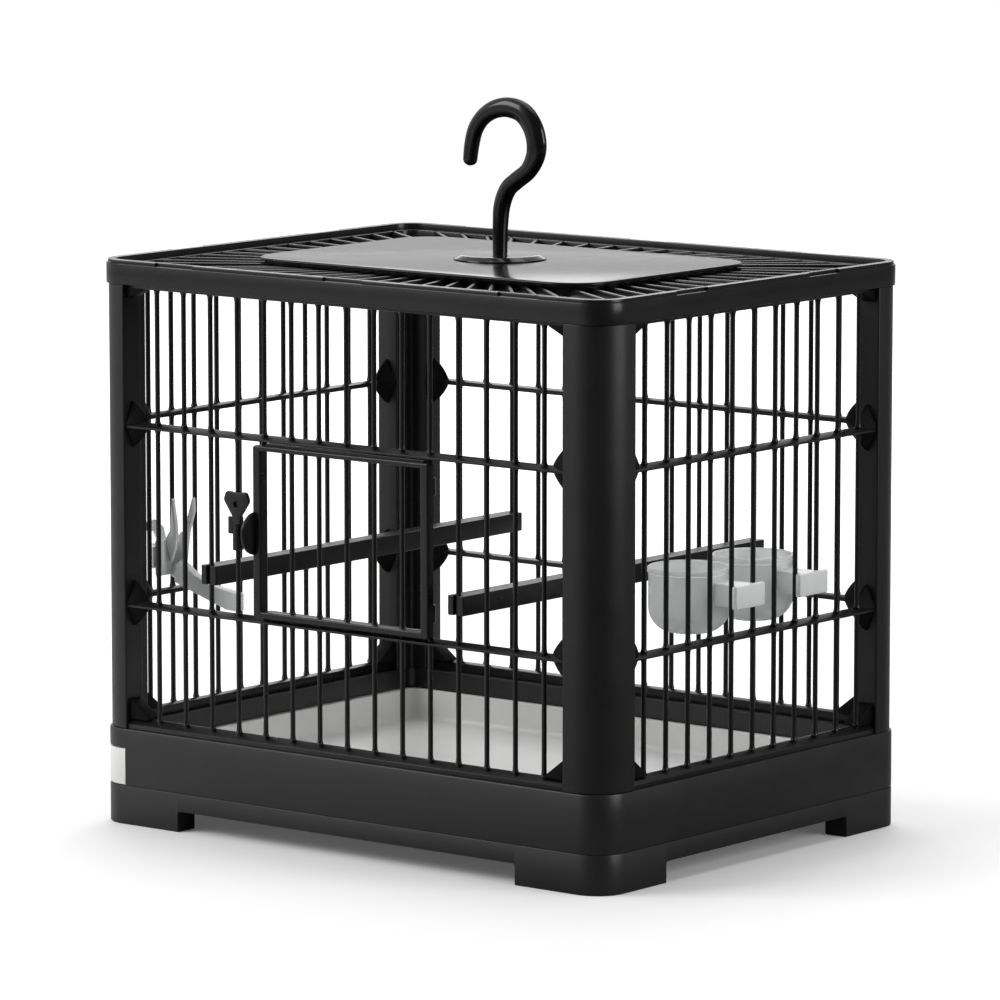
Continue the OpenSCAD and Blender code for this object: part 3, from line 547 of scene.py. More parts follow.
def ear(sign, end, level):
    """Snap ear: half a dome on a four-sided foot. At the share t of its reach each section is the foot's
    round-cornered diamond scaled about its ridge by (1 - t^EAR_DOME)^(1 / EAR_DOME)."""
    ridge = np.array([EAR_RIDGE, 0])
    foot = np.array([[EAR_FRONT, 0], [EAR_RIDGE, -EAR_HEIGHT], [POST_THICK, 0], [EAR_RIDGE, EAR_HEIGHT]])
    foot = rounded(foot, [EAR_SIDE_ROUND, EAR_END_ROUND] * 2, 6)
    t = np.sin(np.linspace(0, np.pi / 2, 16))[:-1]
    scale = (1 - t ** EAR_DOME) ** (1 / EAR_DOME)
    flat = ridge + scale[:, None, None] * (foot - ridge)
    rows = lifted(flat, end - sign * EAR_REACH * t)[..., [2, 0, 1]]
    return grid(rows + [0, 0, level], wrap_columns=True, caps=True)


def gusset(sign, end, level, up, length, height):
    """Triangular gusset in the corner between a post and a rail."""
    shape = np.array([[0, 0], [length, 0], [0, height]])
    outline = np.stack([end - sign * shape[:, 0], level + up * shape[:, 1]], axis=1)
    if sign * up > 0:
        outline = outline[::-1]
    part = prism(rounded(outline, 0.5 * MM, 3), GUSSET_FRONT, GUSSET_BACK, 0.4 * MM, 2)
    return placed(part, [[1, 0, 0], [0, 0, 1], [0, 1, 0]])


def wall_parts(start, end, count, doorway=False):
    """A barred wall drawn along X with its depth along Y, its opening from start to end: its bars and rails,
    and its ears and gussets."""
    ledge, crown = BASE_Z + LEDGE_HEIGHT, WALL_TOP - CROWN_HEIGHT
    joints = [ledge, LOWER_RAIL - RAIL_HEIGHT, LOWER_RAIL, UPPER_RAIL - RAIL_HEIGHT, UPPER_RAIL, crown]
    k = np.arange(-count, count + 1)
    split = np.abs(k) < DOOR_BARS if doorway else np.zeros(len(k), bool)
    parts = [bars(k[~split] * PITCH, BASE_Z + MM, WALL_TOP - MM, joints)]
    if doorway:
        parts.append(bars(k[split] * PITCH, BASE_Z + MM, LOWER_RAIL - MM, joints[:2]))
        parts.append(bars(k[split] * PITCH, UPPER_RAIL - RAIL_HEIGHT + MM, WALL_TOP - MM, joints[4:]))
    parts.append(rail(start, end, ledge, LEDGE_HEIGHT, LEDGE_LIP))
    parts += [rail(start, end, top) for top in (LOWER_RAIL, UPPER_RAIL)]
    section = oblong(CROWN_FRONT, CROWN_FRONT + CROWN_DEPTH, crown, WALL_TOP, 0.4 * MM, 2)
    parts.append(along_wall(section, start, end))
    corners = []
    for sign, place in ((-1, start), (1, end)):
        for level in (LOWER_RAIL, UPPER_RAIL):
            corners.append(ear(sign, place, level - RAIL_HEIGHT / 2))
        corners.append(gusset(sign, place, ledge - 0.5 * MM, 1, *GUSSET_LOW))
        corners.append(gusset(sign, place, crown + 0.5 * MM, -1, *GUSSET_TOP))
    return parts, corners


def stood(parts, turn, half_span):
    """Turns a wall to its side of the body: 0 front, 1 right, 2 back, 3 left."""
    a = turn * np.pi / 2
    axes = [[np.cos(a), np.sin(a), 0], [-np.sin(a), np.cos(a), 0], [0, 0, 1]]
    origin = np.array([np.sin(a) * half_span, -np.cos(a) * half_span + MIDDLE_Y, 0])
    return [placed(part, axes, origin) for part in parts]


# Roof

RIM_WIDTH, RIM_TOP, RIM_STEP = mm(8, 4.6, 1.6)
RIB_TOP = ROOF_Z - 3 * MM
RIB_HEIGHT, RIB_HALF = mm(4, 1)
plate_low, plate_high = (np.array(corner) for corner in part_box("roof_plate"))
PLATE_X, PLATE_Y = (plate_high - plate_low)[:2] / 2
PLATE_LOW, PLATE_CORNER = plate_low[2], 20 * MM
PLATE_UNDER, PLATE_OVER = mm(0.3, 0.9)
COLLAR_X, COLLAR_Y = PLATE_X - 6 * MM, PLATE_Y - 6 * MM
COLLAR_CORNER, COLLAR_WIDTH, COLLAR_DROP = mm(16, 8, 0.5)
BOSS_RADIUS, BOSS_DEPTH, WEB_HALF, SHAFT_HOLE = mm(15, 6, 1.5, 3.28)
NOTCH_WIDTH, NOTCH_DEPTH = mm(23, 1.6)
NOTCHES_LONG, NOTCHES_DEEP = mm(-101, 0, 101), mm(-50, 50)


def rim():
    """Roof rim: a ring with a fine step under its upper edge, set in at the snap notches, and a ledge inside
    at the ribs' level."""
    stations = [corner_stations(*BODY)]
    depth = [0 * stations[0]]
    half = NOTCH_WIDTH / 2
    for side in range(4):
        for position in (NOTCHES_DEEP if side % 2 else NOTCHES_LONG):
            stations.append(side_station(side, position) + np.array([-half, -half, half, half]))
            depth.append(np.array([0, NOTCH_DEPTH, NOTCH_DEPTH, 0]))
    points, out, depth = along_body(stations, depth)
    step, soft, bit = mm(0.8, 0.4, 0.12)
    step_z, top = ROOF_Z - RIM_STEP, ROOF_Z
    groove_front, groove_back, groove_top = 2 * MM, 6.8 * MM, WALL_TOP + 3 * MM
    lower = np.array([
        [groove_front, POST_TOP], [soft, POST_TOP], [bit, POST_TOP + bit], [0, POST_TOP + soft],
        [0, step_z - soft], [bit, step_z - bit], [soft, step_z],
    ])
    upper = np.array([[step, step_z], [step, top - soft], [step + bit, top - bit], [step + soft, top]])
    inner = np.array([
        [RIM_TOP - soft, top], [RIM_TOP - bit, top - bit], [RIM_TOP, top - soft], [RIM_TOP, RIB_TOP],
        [RIM_WIDTH - soft, RIB_TOP], [RIM_WIDTH - bit, RIB_TOP - bit], [RIM_WIDTH, RIB_TOP - soft],
        [RIM_WIDTH, POST_TOP + soft], [RIM_WIDTH - soft, POST_TOP], [groove_back, POST_TOP],
        [groove_back, groove_top], [groove_front, groove_top],
    ])
    lower_in, inner_in = (np.broadcast_to(part[:, 0], (len(points), len(part))) for part in (lower, inner))
    inset = np.concatenate([lower_in, upper[:, 0] + depth[:, None], inner_in], axis=1)
    height = np.concatenate([lower[:, 1], upper[:, 1], inner[:, 1]])
    return stack(points, out, inset, height, wrap_rows=True)


def roof_ribs():
    """Upright blades with round tops, each on the line from the roof's middle through a bar's place: the
    line's shares that lie between the collar and the rim are worked out for all of them at once."""
    long_k, deep_k = np.arange(-BARS_LONG - 1, BARS_LONG + 2), np.arange(-BARS_DEEP - 1, BARS_DEEP + 2)
    side_x, side_y = HALF_X - BAR_DEPTH, BAR_LINE
    aim = np.concatenate([
        np.stack([np.tile(long_k, 2) * PITCH, np.repeat([-side_y, side_y], len(long_k))], axis=1),
        np.stack([np.repeat([-side_x, side_x], len(deep_k)), np.tile(deep_k, 2) * PITCH], axis=1),
    ])
    span = np.maximum(np.abs(aim), 1e-6)
    inner = ((np.array([COLLAR_X, COLLAR_Y]) - 2 * MM) / span).min(axis=1)
    outer = ((np.array([HALF_X, HALF_Y]) - RIM_TOP + 0.4 * MM) / span).min(axis=1)
    reach = np.linalg.norm(aim, axis=1)
    along = aim / reach[:, None]
    across = np.stack([-along[:, 1], along[:, 0]], axis=1)
    section = oblong(-RIB_HALF, RIB_HALF, -RIB_HEIGHT, 0, mm(0.2, 0.2, 0.7, 0.7), 3)
    ends = np.stack([aim * inner[:, None], aim * outer[:, None]], axis=1)
    flat = ends[:, :, None] + section[None, None, :, :1] * across[:, None, None]
    height = np.broadcast_to(RIB_TOP + section[:, 1], flat.shape[:3])
    rows = np.concatenate([flat, height[..., None]], axis=3)
    return [moved(grid(one, wrap_columns=True, caps=True), y=MIDDLE_Y) for one in rows]


def slab_ring(half_x, half_y, radius, width, low, high, edge):
    """Flat ring of the given width between two heights, its edges softened."""
    points, out = on_outline(corner_stations(half_x, half_y, radius, 8), half_x, half_y, radius)
    inset = np.array([edge, 0, 0, edge, width - edge, width, width, width - edge])
    height = np.array([low, low + edge, high - edge, high, high, high - edge, low + edge, low])
    return stack(points, out, inset, height, wrap_rows=True)


def roof_frame():
    """Rim, ribs, the collar under the cover plate, and the hook's boss with its four webs."""
    boss_low = PLATE_LOW - BOSS_DEPTH
    parts = [rim()] + roof_ribs()
    collar_low = RIB_TOP - RIB_HEIGHT - COLLAR_DROP
    parts.append(slab_ring(COLLAR_X, COLLAR_Y, COLLAR_CORNER, COLLAR_WIDTH, collar_low, PLATE_LOW, 0.3 * MM))
    profile = [[SHAFT_HOLE, boss_low], [BOSS_RADIUS - 0.5 * MM, boss_low], [BOSS_RADIUS, boss_low + 0.5 * MM],
               [BOSS_RADIUS, PLATE_LOW], [SHAFT_HOLE, PLATE_LOW], [SHAFT_HOLE, boss_low]]
    parts.append(moved(turned(profile, 64), y=MIDDLE_Y))
    root, half = BOSS_RADIUS - MM, WEB_HALF
    for sign in (-1, 1):
        for axis, reach in enumerate((COLLAR_X - COLLAR_WIDTH / 2, COLLAR_Y - COLLAR_WIDTH / 2)):
            corners = np.array([[root, -half], [reach, -half], [reach, half], [root, half]]) * sign
            if axis:
                corners = corners[:, ::-1][::-1]
            web = prism(rounded(corners, 0.2 * MM, 2), boss_low, PLATE_LOW, 0.3 * MM, 2)
            parts.append(moved(web, y=MIDDLE_Y))
    return parts


def roof_plate():
    """Cover plate: a thin slab with round corners, its upper edge turned on a larger radius."""
    stations = corner_stations(PLATE_X, PLATE_Y, PLATE_CORNER, 16)
    points, out = on_outline(stations, PLATE_X, PLATE_Y, PLATE_CORNER)
    under, over = quarter(PLATE_UNDER, 4), quarter(PLATE_OVER, 4)
    inset = np.concatenate([under[0], over[1]])
    height = np.concatenate([PLATE_LOW + under[1], ROOF_Z - over[0]])
    return [stack(points, out, inset, height, caps=True)]


FLANGE_RADIUS, FLANGE_HEIGHT = mm(21.7, 2.4)


def hook_flange():
    """Low cone with a rolled foot and a soft shoulder."""
    radius, high, hole = FLANGE_RADIUS, FLANGE_HEIGHT, SHAFT_HOLE
    profile = [[hole, 0], [radius - 0.2 * MM, 0], [radius, 0.25 * MM], [radius - 0.15 * MM, 0.6 * MM],
               [radius - 2.4 * MM, high - 0.35 * MM], [radius - 2.9 * MM, high - 0.08 * MM],
               [radius - 3.6 * MM, high], [hole + 0.3 * MM, high], [hole, high - 0.3 * MM], [hole, 0]]
    return [moved(turned(profile, 96), y=MIDDLE_Y, z=ROOF_Z)]


# Hook

HOOK_RISE, HOOK_TIP = mm(75.4, 2.9)
SHAFT_RADIUS, SHAFT_UP, SHAFT_CHAMFER = mm(3.2, 4, 0.4)

# The hook's line: distance in mm, share of the rise, and the section's two half widths in mm
HOOK_POINTS = np.array([
    [0, 0.036, 3.45, 3.45], [0.2, 0.2, 3.7, 3.6], [1.2, 0.331, 4.1, 3.8], [4.6, 0.432, 4.2, 3.8],
    [10, 0.491, 4.2, 3.7], [16.8, 0.557, 4.3, 3.6], [20.9, 0.65, 5, 3.6], [21.3, 0.743, 5.3, 3.6],
    [18.6, 0.836, 5.3, 3.6], [13, 0.91, 5.1, 3.6], [5, 0.936, 4.8, 3.6], [-3, 0.919, 4.4, 3.5],
    [-9.9, 0.866, 4, 3.5], [-14.5, 0.789, 3.9, 3.4], [-16.7, 0.694, 3.8, 3.3], [-17.7, 0.6, 3.5, 3.2],
])


def smooth_curve(knots, steps):
    """Curve through knots (n, m): on each stretch the cubic that also heads for the knots on either side."""
    padded = np.vstack([knots[:1], knots, knots[-1:]])
    t = np.linspace(0, len(knots) - 1, (len(knots) - 1) * steps + 1)
    i = np.minimum(t.astype(int), len(knots) - 2)
    f = (t - i)[:, None]
    a, b, c, d = (padded[i + k] for k in range(4))
    square, cube = 2 * a - 5 * b + 4 * c - d, 3 * b - a - 3 * c + d
    return 0.5 * (2 * b + (c - a) * f + square * f ** 2 + cube * f ** 3)


def hook():
    """Oval section carried along the hook's line; its tip closes as a quarter circle does."""
    line = smooth_curve(HOOK_POINTS, 7)
    centre = np.stack([line[:, 0] * MM, np.zeros(len(line)), ROOF_Z + line[:, 1] * HOOK_RISE], axis=1)
    along = np.gradient(centre, axis=0)
    along /= np.linalg.norm(along, axis=1, keepdims=True)
    close = np.linspace(0, np.pi / 2, 8)[1:]
    centre = np.vstack([centre, centre[-1] + HOOK_TIP * np.sin(close)[:, None] * along[-1]])
    along = np.vstack([along, np.repeat(along[-1:], len(close), axis=0)])
    size = np.vstack([line[:, 2:], line[-1, 2:] * np.cos(close)[:, None]]) * MM
    side = np.stack([along[:, 2], np.zeros(len(along)), -along[:, 0]], axis=1)
    a = np.linspace(0, 2 * np.pi, 32, endpoint=False)[None, :, None]
    rows = (centre[:, None] + size[:, None, :1] * np.cos(a) * side[:, None]
            + size[:, None, 1:] * np.sin(a) * np.array([0, 1, 0]))
    low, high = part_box("hook")[0][2], ROOF_Z + SHAFT_UP
    shaft = turned([[0, low], [SHAFT_RADIUS - SHAFT_CHAMFER, low], [SHAFT_RADIUS, low + SHAFT_CHAMFER],
                    [SHAFT_RADIUS, high], [0, high]], 40)
    return [moved(part, y=MIDDLE_Y) for part in (grid(rows, wrap_columns=True, caps=True), shaft)]


# Door and latch

DOOR_BACK = BAR_LINE + BAR_RADIUS + 0.3 * MM
STILE_WIDTH, STILE_DEPTH, STILE_ROUND = mm(4.6, 3.95, 0.8)
SILL_HEIGHT, HEAD_HEIGHT = mm(3, 2.4)
DOOR_HALF = DOOR_BARS * PITCH + 2.9 * MM
DOOR_LOW, RIB_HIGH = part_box("door")[0][2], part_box("door")[1][2]
DOOR_HIGH = UPPER_RAIL - RAIL_HEIGHT - 1.4 * MM
RIB_HALF_LENGTH = DOOR_BARS * PITCH - BAR_RADIUS - 0.8 * MM
KNUCKLE_LENGTH, KNUCKLE_INSET = mm(8, 6.9)
GRIP_RADIUS, GRIP_THICK, GRIP_ROOT, GRIP_Z = mm(10, 1.7, 1.25, 145)
SLEEVE = BAR_RADIUS + 1.37 * MM
BORE = BAR_RADIUS + 0.07 * MM
UPRIGHT = [[1, 0, 0], [0, 0, 1], [0, -1, 0]]


def sleeve(x, low, high):
    """Tube that turns on a bar of the front wall, its ends softened."""
    soft = 0.3 * MM
    profile = [[BORE, low], [SLEEVE - soft, low], [SLEEVE, low + soft], [SLEEVE, high - soft],
               [SLEEVE - soft, high], [BORE, high], [BORE, low]]
    return moved(turned(profile, 32), x, MIDDLE_Y - BAR_LINE)


def door_frame():
    """Flat ring whose section has two rounded front edges, carried round the door's outline. Each side of the
    ring has its own member's width, so the inner edge is drawn in by a different amount on each side."""
    half_z, middle_z = (DOOR_HIGH - DOOR_LOW) / 2, (DOOR_HIGH + DOOR_LOW) / 2
    inner_x = DOOR_HALF - STILE_WIDTH
    outer = oblong(-DOOR_HALF, DOOR_HALF, -half_z, half_z, 1.2 * MM, 6)
    inner = oblong(-inner_x, inner_x, SILL_HEIGHT - half_z, half_z - HEAD_HEIGHT, 0.5 * MM, 6)
    from_front, drawn = quarter(STILE_ROUND, 4)
    front = STILE_DEPTH - from_front
    outer_rows = outer[None] - drawn[:, None, None] * outward(outer)
    inner_rows = inner[None] + drawn[::-1, None, None] * outward(inner)
    flat = np.concatenate([inner[None], outer[None], outer_rows, inner_rows])
    rows = lifted(flat, np.concatenate([[0, 0], front, front[::-1]]) + DOOR_BACK)
    return placed(grid(rows, wrap_rows=True, wrap_columns=True), UPRIGHT, (0, MIDDLE_Y, middle_z))


def door():
    """Frame, ribs behind its cross members, bars, knuckles and the half-round grip."""
    parts = [door_frame()]
    sill, head = DOOR_LOW + SILL_HEIGHT, DOOR_HIGH - HEAD_HEIGHT
    for low, high in ((DOOR_LOW, sill), (head, RIB_HIGH)):
        rib = oblong(-RIB_HALF_LENGTH, RIB_HALF_LENGTH, low, high, 0.4 * MM, 2)
        part = prism(rib, BAR_LINE - BAR_RADIUS, DOOR_BACK + 0.5 * MM, 0.3 * MM, 2)
        parts.append(placed(part, UPRIGHT, (0, MIDDLE_Y, 0)))
    k = np.arange(1 - DOOR_BARS, DOOR_BARS)
    parts.append(moved(bars(k * PITCH, DOOR_LOW + MM, DOOR_HIGH - MM, [sill, head]), y=MIDDLE_Y - HALF_Y))
    for level in (DOOR_LOW + KNUCKLE_INSET, DOOR_HIGH - KNUCKLE_INSET - KNUCKLE_LENGTH):
        parts.append(sleeve(DOOR_BARS * PITCH, level, level + KNUCKLE_LENGTH))
    bend = np.linspace(-np.pi / 2, np.pi / 2, 33)
    disc = np.stack([GRIP_RADIUS * np.cos(bend), GRIP_RADIUS * np.sin(bend)], axis=1)
    outline = np.vstack([disc, [[-GRIP_ROOT, GRIP_RADIUS], [-GRIP_ROOT, -GRIP_RADIUS]]])
    grip = prism(outline, -DOOR_HALF, -DOOR_HALF + GRIP_THICK, 0.6 * MM, 3)
    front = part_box("door")[0][1] + GRIP_RADIUS
    parts.append(placed(grip, [[0, -1, 0], [0, 0, 1], [1, 0, 0]], (0, front, GRIP_Z)))
    return parts


LATCH_X = -(DOOR_BARS + 1) * PITCH
TAB_THICK, TAB_SHIFT = mm(1.8, 1.5)
DIMPLE, DIMPLE_DEPTH, DIMPLE_Z = mm(1.6, 1.3, 157)
HEART_SIDE = np.array([[2.3, 148], [2.6, 151.5], [7.8, 158.8], [6.1, 163.2]]) * MM
HEART_TOP = np.array([[0, 162.5]]) * MM
HEART_ROUND = mm(0.4, 2.5, 2.6, 2.2, 8, 2.2, 2.6, 2.5, 0.4)
CLIP_SLEEVE, LUG_SPAN, TONGUE_SPAN = mm(135.5, 151), mm(143, 151), mm(141, 147)
LUG_IN, LUG_OUT, LUG_REACH = mm(0.85, 1.9, 2.1)
TONGUE_HALF, TONGUE_GAP = mm(1.1, 0.5)


def latch():
    """Heart-shaped thumb tab with a dimple, on a clip sleeve with a jaw lug and a tongue. The heart is a
    round-cornered outline with a nearly flat top. Each ring of the tab is that outline drawn in, and the
    front runs from it to the dimple's circle, point by point."""
    heart = rounded(np.vstack([HEART_SIDE, HEART_TOP, (HEART_SIDE * [-1, 1])[::-1]]), HEART_ROUND, 6)
    normal = outward(heart)
    turn = np.arctan2(heart[:, 1] - DIMPLE_Z, heart[:, 0])
    circle = np.stack([np.cos(turn), np.sin(turn)], axis=1)
    hub = np.array([0, DIMPLE_Z]) + 0 * heart
    soft, bit = mm(0.5, 0.15)
    back = BAR_RADIUS + 0.3 * MM
    front = back + TAB_THICK
    rings = [
        (hub, back), (heart - soft * normal, back), (heart - bit * normal, back + bit), (heart, back + soft),
        (heart, front - soft), (heart - bit * normal, front - bit), (heart - soft * normal, front),
        (hub + (DIMPLE + 0.3 * MM) * circle, front), (hub + DIMPLE * circle, front - 0.25 * MM),
        (hub + 0.8 * DIMPLE * circle, front - DIMPLE_DEPTH), (hub, front - DIMPLE_DEPTH),
    ]
    flat, depth = (np.array(part) for part in zip(*rings))
    place = (LATCH_X, MIDDLE_Y - BAR_LINE, 0)
    parts = [placed(grid(lifted(flat + [TAB_SHIFT, 0], depth), wrap_columns=True), UPRIGHT, place)]
    parts.append(sleeve(LATCH_X, *CLIP_SLEEVE))
    for low, high in ((-LUG_OUT, -LUG_IN), (LUG_IN, LUG_OUT)):
        plan = oblong(-SLEEVE - LUG_REACH, -SLEEVE + 0.8 * MM, low, high, 0.4 * MM, 3)
        parts.append(moved(prism(plan, *LUG_SPAN), *place))
    reach = -LATCH_X - DOOR_HALF - TONGUE_GAP
    ends = mm(0.1, 0.9, 0.9, 0.1)
    plan = oblong(SLEEVE - 0.6 * MM, reach, -TONGUE_HALF, TONGUE_HALF, ends)
    parts.append(moved(prism(plan, *TONGUE_SPAN), *place))
    return parts


# Fittings

PERCH_LOW, PERCH_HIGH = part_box("perch_left")[0][2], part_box("perch_left")[1][2]
PERCH_HALF = 4.6 * MM


def perch(x):
    """Perch: its plan, with a slot for a bar in each end, raised with softened edges."""
    reach, slot, depth = HALF_Y - 1.5 * MM, BAR_RADIUS + 0.15 * MM, BAR_LINE - 1.5 * MM
    w = PERCH_HALF
    plan = [[-w, -reach], [-slot, -reach], [-slot, -depth], [slot, -depth], [slot, -reach], [w, -reach],
            [w, reach], [slot, reach], [slot, depth], [-slot, depth], [-slot, reach], [-w, reach]]
    radii = np.array([0.6, 0.3, 0.3, 0.3, 0.3, 0.6] * 2) * MM
    return [moved(prism(rounded(plan, radii, 4), PERCH_LOW, PERCH_HIGH, 0.45 * MM, 4), x, MIDDLE_Y)]


CUP_RADIUS, CUP_WALL, CUP_ROUND = mm(18.8, 1.6, 12)
CUP_LOW, CUP_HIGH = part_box("cup_front")[0][2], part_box("cup_front")[1][2]
CUP_X = HALF_X - 33.5 * MM
CUP_COLLAR, COLLAR_PROUD = mm(2.5, 0.5)
CLIP_LOW, CLIP_HEIGHT = CUP_LOW + 14.2 * MM, 10.6 * MM
CLIP_LAP, CLIP_SHIFT = mm(2.8, 1)


def cup(y):
    """Cup: a turned shell whose floor runs into its side on a quarter circle, with a collar and a rolled
    lip. Its clip: a neck between two bars and the tab outside them."""
    inner, collar, collar_radius = CUP_RADIUS - CUP_WALL, CUP_HIGH - CUP_COLLAR, CUP_RADIUS + COLLAR_PROUD
    from_side, from_foot = quarter(CUP_ROUND, 12)
    outside = np.stack([CUP_RADIUS - from_side, CUP_LOW + from_foot], axis=1)
    from_side, from_foot = quarter(CUP_ROUND - CUP_WALL, 12)
    inside = np.stack([inner - from_side, CUP_LOW + CUP_WALL + from_foot], axis=1)[::-1]
    half = (collar_radius - inner) / 2
    lip = np.linspace(0, np.pi, 9)
    top = np.stack([inner + half + half * np.cos(lip), CUP_HIGH - half + half * np.sin(lip)], axis=1)
    profile = np.vstack([
        [[0, CUP_LOW]], outside, [[CUP_RADIUS, collar - COLLAR_PROUD], [collar_radius, collar]], top, inside,
        [[0, CUP_LOW + CUP_WALL]],
    ])
    start, clip_out = CUP_X + CUP_RADIUS - 0.8 * MM, HALF_X + 0.5 * MM
    clip_in = HALF_X - BAR_DEPTH + BAR_RADIUS + 0.3 * MM
    neck_half, tab_half = PITCH / 2 - BAR_RADIUS - MM, PITCH / 2 + CLIP_LAP
    clip = []
    for x0, x1, half_y, middle, edge in (
        (start, clip_in + MM, neck_half, y, 0.5 * MM),
        (clip_in, clip_out, tab_half, y + CLIP_SHIFT, 0.7 * MM),
    ):
        block = prism(oblong(x0, x1, -half_y, half_y, edge), CLIP_LOW, CLIP_LOW + CLIP_HEIGHT, edge)
        clip.append(moved(block, y=middle))
    return [moved(turned(profile, 72), CUP_X, y)], clip


def blade(y, thickness, outline, radius):
    """Flat blade drawn in X and height, its middle at y, with softened edges."""
    edge = min(0.7 * MM, thickness * 0.4)
    return placed(prism(rounded(outline, radius, 4), -thickness / 2, thickness / 2, edge), UPRIGHT, (0, y, 0))


# Fruit fork, in mm. Each blade's distance before its root, thickness, corner radius, and outline in distance
# from the wall and height
FORK_BLADES = (
    (5.4, 2.2, 0.3, [[4.8, 118], [7.6, 124.6], [8.7, 131.5], [8.2, 138], [6.2, 148.6], [5.4, 148.6],
                     [4.6, 134], [1.2, 129], [0.2, 126.5], [1.6, 123.5]]),
    (0, 2.2, 0.4, [[8.6, 112], [11.6, 133], [14.9, 143.2], [14.5, 149.2], [13.6, 149.2], [11.2, 142],
                   [8.6, 134], [6.9, 124]]),
    (1.2, 2.2, 0.8, [[0, 111.5], [7, 108.8], [10.4, 111], [10.4, 133.2], [7.2, 132.6], [4.6, 128.6],
                     [0, 128]]),
    (3, 5, 0.8, [[6, 109], [10, 107.6], [38, 98.8], [45.6, 98.4], [45.6, 107], [29, 109.4], [18, 113.8],
                 [9.5, 119.4], [6.5, 117]]),
)

# Its outer prong, in mm: outline in Y and height, and its corner radii
PRONG = [[-85, 133.2], [-75.8, 133.2], [-71.5, 126.5], [-66.5, 126.5], [-68.8, 134], [-75, 138.4],
         [-85, 137.4]]
PRONG_ROUND, PRONG_THICK = [0.8, 2, 1, 0.8, 1.6, 2, 0.8], 2.2 * MM
TAB_SPAN, NECK_SPAN, ROOT_SPAN = mm(115, 127), mm(116, 126), mm(112, 129)


def fork():
    """Fruit fork: tab and neck through the left wall, two leaf spikes, an outer prong and a sloping arm."""
    wall_x = -HALF_X + BAR_DEPTH
    face, tab_x = wall_x + BAR_RADIUS + 0.3 * MM, wall_x - BAR_RADIUS - 2.7 * MM
    gap_y = -(BARS_DEEP - 0.5) * PITCH + MIDDLE_Y
    neck = PITCH / 2 - BAR_RADIUS - MM
    parts = []
    for x0, x1, y0, y1, span in (
        (tab_x, tab_x + 2.6 * MM, gap_y - 4.2 * MM, gap_y + neck + 2 * MM, TAB_SPAN),
        (tab_x + 1.4 * MM, face + MM, gap_y - neck, gap_y + neck, NECK_SPAN),
        (face, face + 2.4 * MM, gap_y - neck, gap_y + neck, ROOT_SPAN),
    ):
        parts.append(prism(oblong(x0, x1, y0, y1, 0.5 * MM, 3), *span, 0.5 * MM))
    for before, thick, radius, outline in FORK_BLADES:
        leaf = np.array(outline) * MM + [face, 0]
        parts.append(blade(gap_y + neck - before * MM, thick * MM, leaf, radius * MM))
    prong = prism(rounded(np.array(PRONG) * MM, np.array(PRONG_ROUND) * MM, 3), 0, PRONG_THICK, 0.5 * MM)
    parts.append(placed(prong, [[0, 1, 0], [0, 0, 1], [1, 0, 0]], (tab_x, MIDDLE_Y, 0)))
    return parts


# The pieces. A wall is given by its name, its opening's ends, its bars to each side and the body's half span.
FRONT_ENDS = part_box("post_front_left")[1][0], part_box("post_front_right")[0][0]
BACK_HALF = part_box("post_back_right")[0][0]
SIDE_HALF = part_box("post_back_left")[0][1] - MIDDLE_Y
WALLS = (
    ("front", FRONT_ENDS, BARS_LONG, HALF_Y),
    ("right", (-SIDE_HALF, SIDE_HALF), BARS_DEEP, HALF_X),
    ("back", (-BACK_HALF, BACK_HALF), BARS_LONG, HALF_Y),
    ("left", (-SIDE_HALF, SIDE_HALF), BARS_DEEP, HALF_X),
)

piece("base_bottom_moulding", base_bottom(), "cage", ["base_bottom"], base_black)
piece("base_body_moulding", base_body(), "cage", ["base_body"], base_black)
piece("tray_moulding", tray(), "tray", ["tray"], tray_white)
for depth, sy in (("front", -1), ("back", 1)):
    for hand, sx in (("left", -1), ("right", 1)):
        node_name = f"post_{depth}_{hand}"
        corner = post(node_name, sx, sy)
        piece(f"corner_{depth}_{hand}", corner, "cage", [node_name], satin_black)
for turn, (name, ends, count, span) in enumerate(WALLS):
    grille, corners = (stood(parts, turn, span) for parts in wall_parts(*ends, count, name == "front"))
    piece(f"bars_{name}", grille, "cage", [f"wall_{name}"], bar_black, corners, matte_black)
piece("roof_ribs_and_rim", roof_frame(), "cage", ["roof_frame"], bar_black)
piece("roof_cover", roof_plate(), "cage", ["roof_plate"], cover_black)
piece("flange", hook_flange(), "cage", ["hook_flange"], polished_black)
piece("carrying_hook", hook(), "hook", ["hook"], polished_black)
piece("barred_door", door(), "door", ["door"], bar_black)
piece("turning_latch", latch(), "latch", ["door_latch"], bar_black)
piece("long_perch", perch(-(DOOR_BARS + 2) * PITCH), "cage", ["perch_left"], bar_black)
piece("short_perch", perch((DOOR_BARS + 1) * PITCH), "cage", ["perch_right"], bar_black)
for name, row, node_name in (("seed_cup", -0.5, "cup_front"), ("water_cup", 2.5, "cup_back")):
    shell, clip = cup(MIDDLE_Y + row * PITCH)
    piece(name, shell, "cage", [node_name], frosted, clip, milky)
piece("food_fork", fork(), "cage", ["fruit_fork"], milky)
for name in ("hook_washer", "hook_nut"):
    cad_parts[name].data.materials.clear()
    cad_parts[name].data.materials.append(bar_black)


# Floor, light and camera

FLOOR_SIZE, FLOOR_WHITE = 6.0, 0.94
FLOOR_GLOW, GLOW_REACH = (0.08, 0.55), (0.3, 1.5)
# Painted shade and light on the floor's colour for light and reflections: FLOOR_SHADE_LEVELS and
# FLOOR_SHADE_REACH darken it towards the right, and FAR_FLOOR_LIGHT lightens it far behind on the right
FLOOR_SHADE_LEVELS, FLOOR_SHADE_REACH = (0.13, 0.68), (-0.3, 0.1)
BRIGHT_SIDE, STUDIO_LEVELS, STUDIO_REACH = (-0.95, 0.1, 0.3), (0.1, 0.82), (-0.1, 0.55)
FAR_SIDE, FAR_LEVEL, FAR_FLOOR_LIGHT, FAR_STUDIO = (0.45, 0.89, 0), 0.1, (0.3, 0.9), (0.2, 0.8)

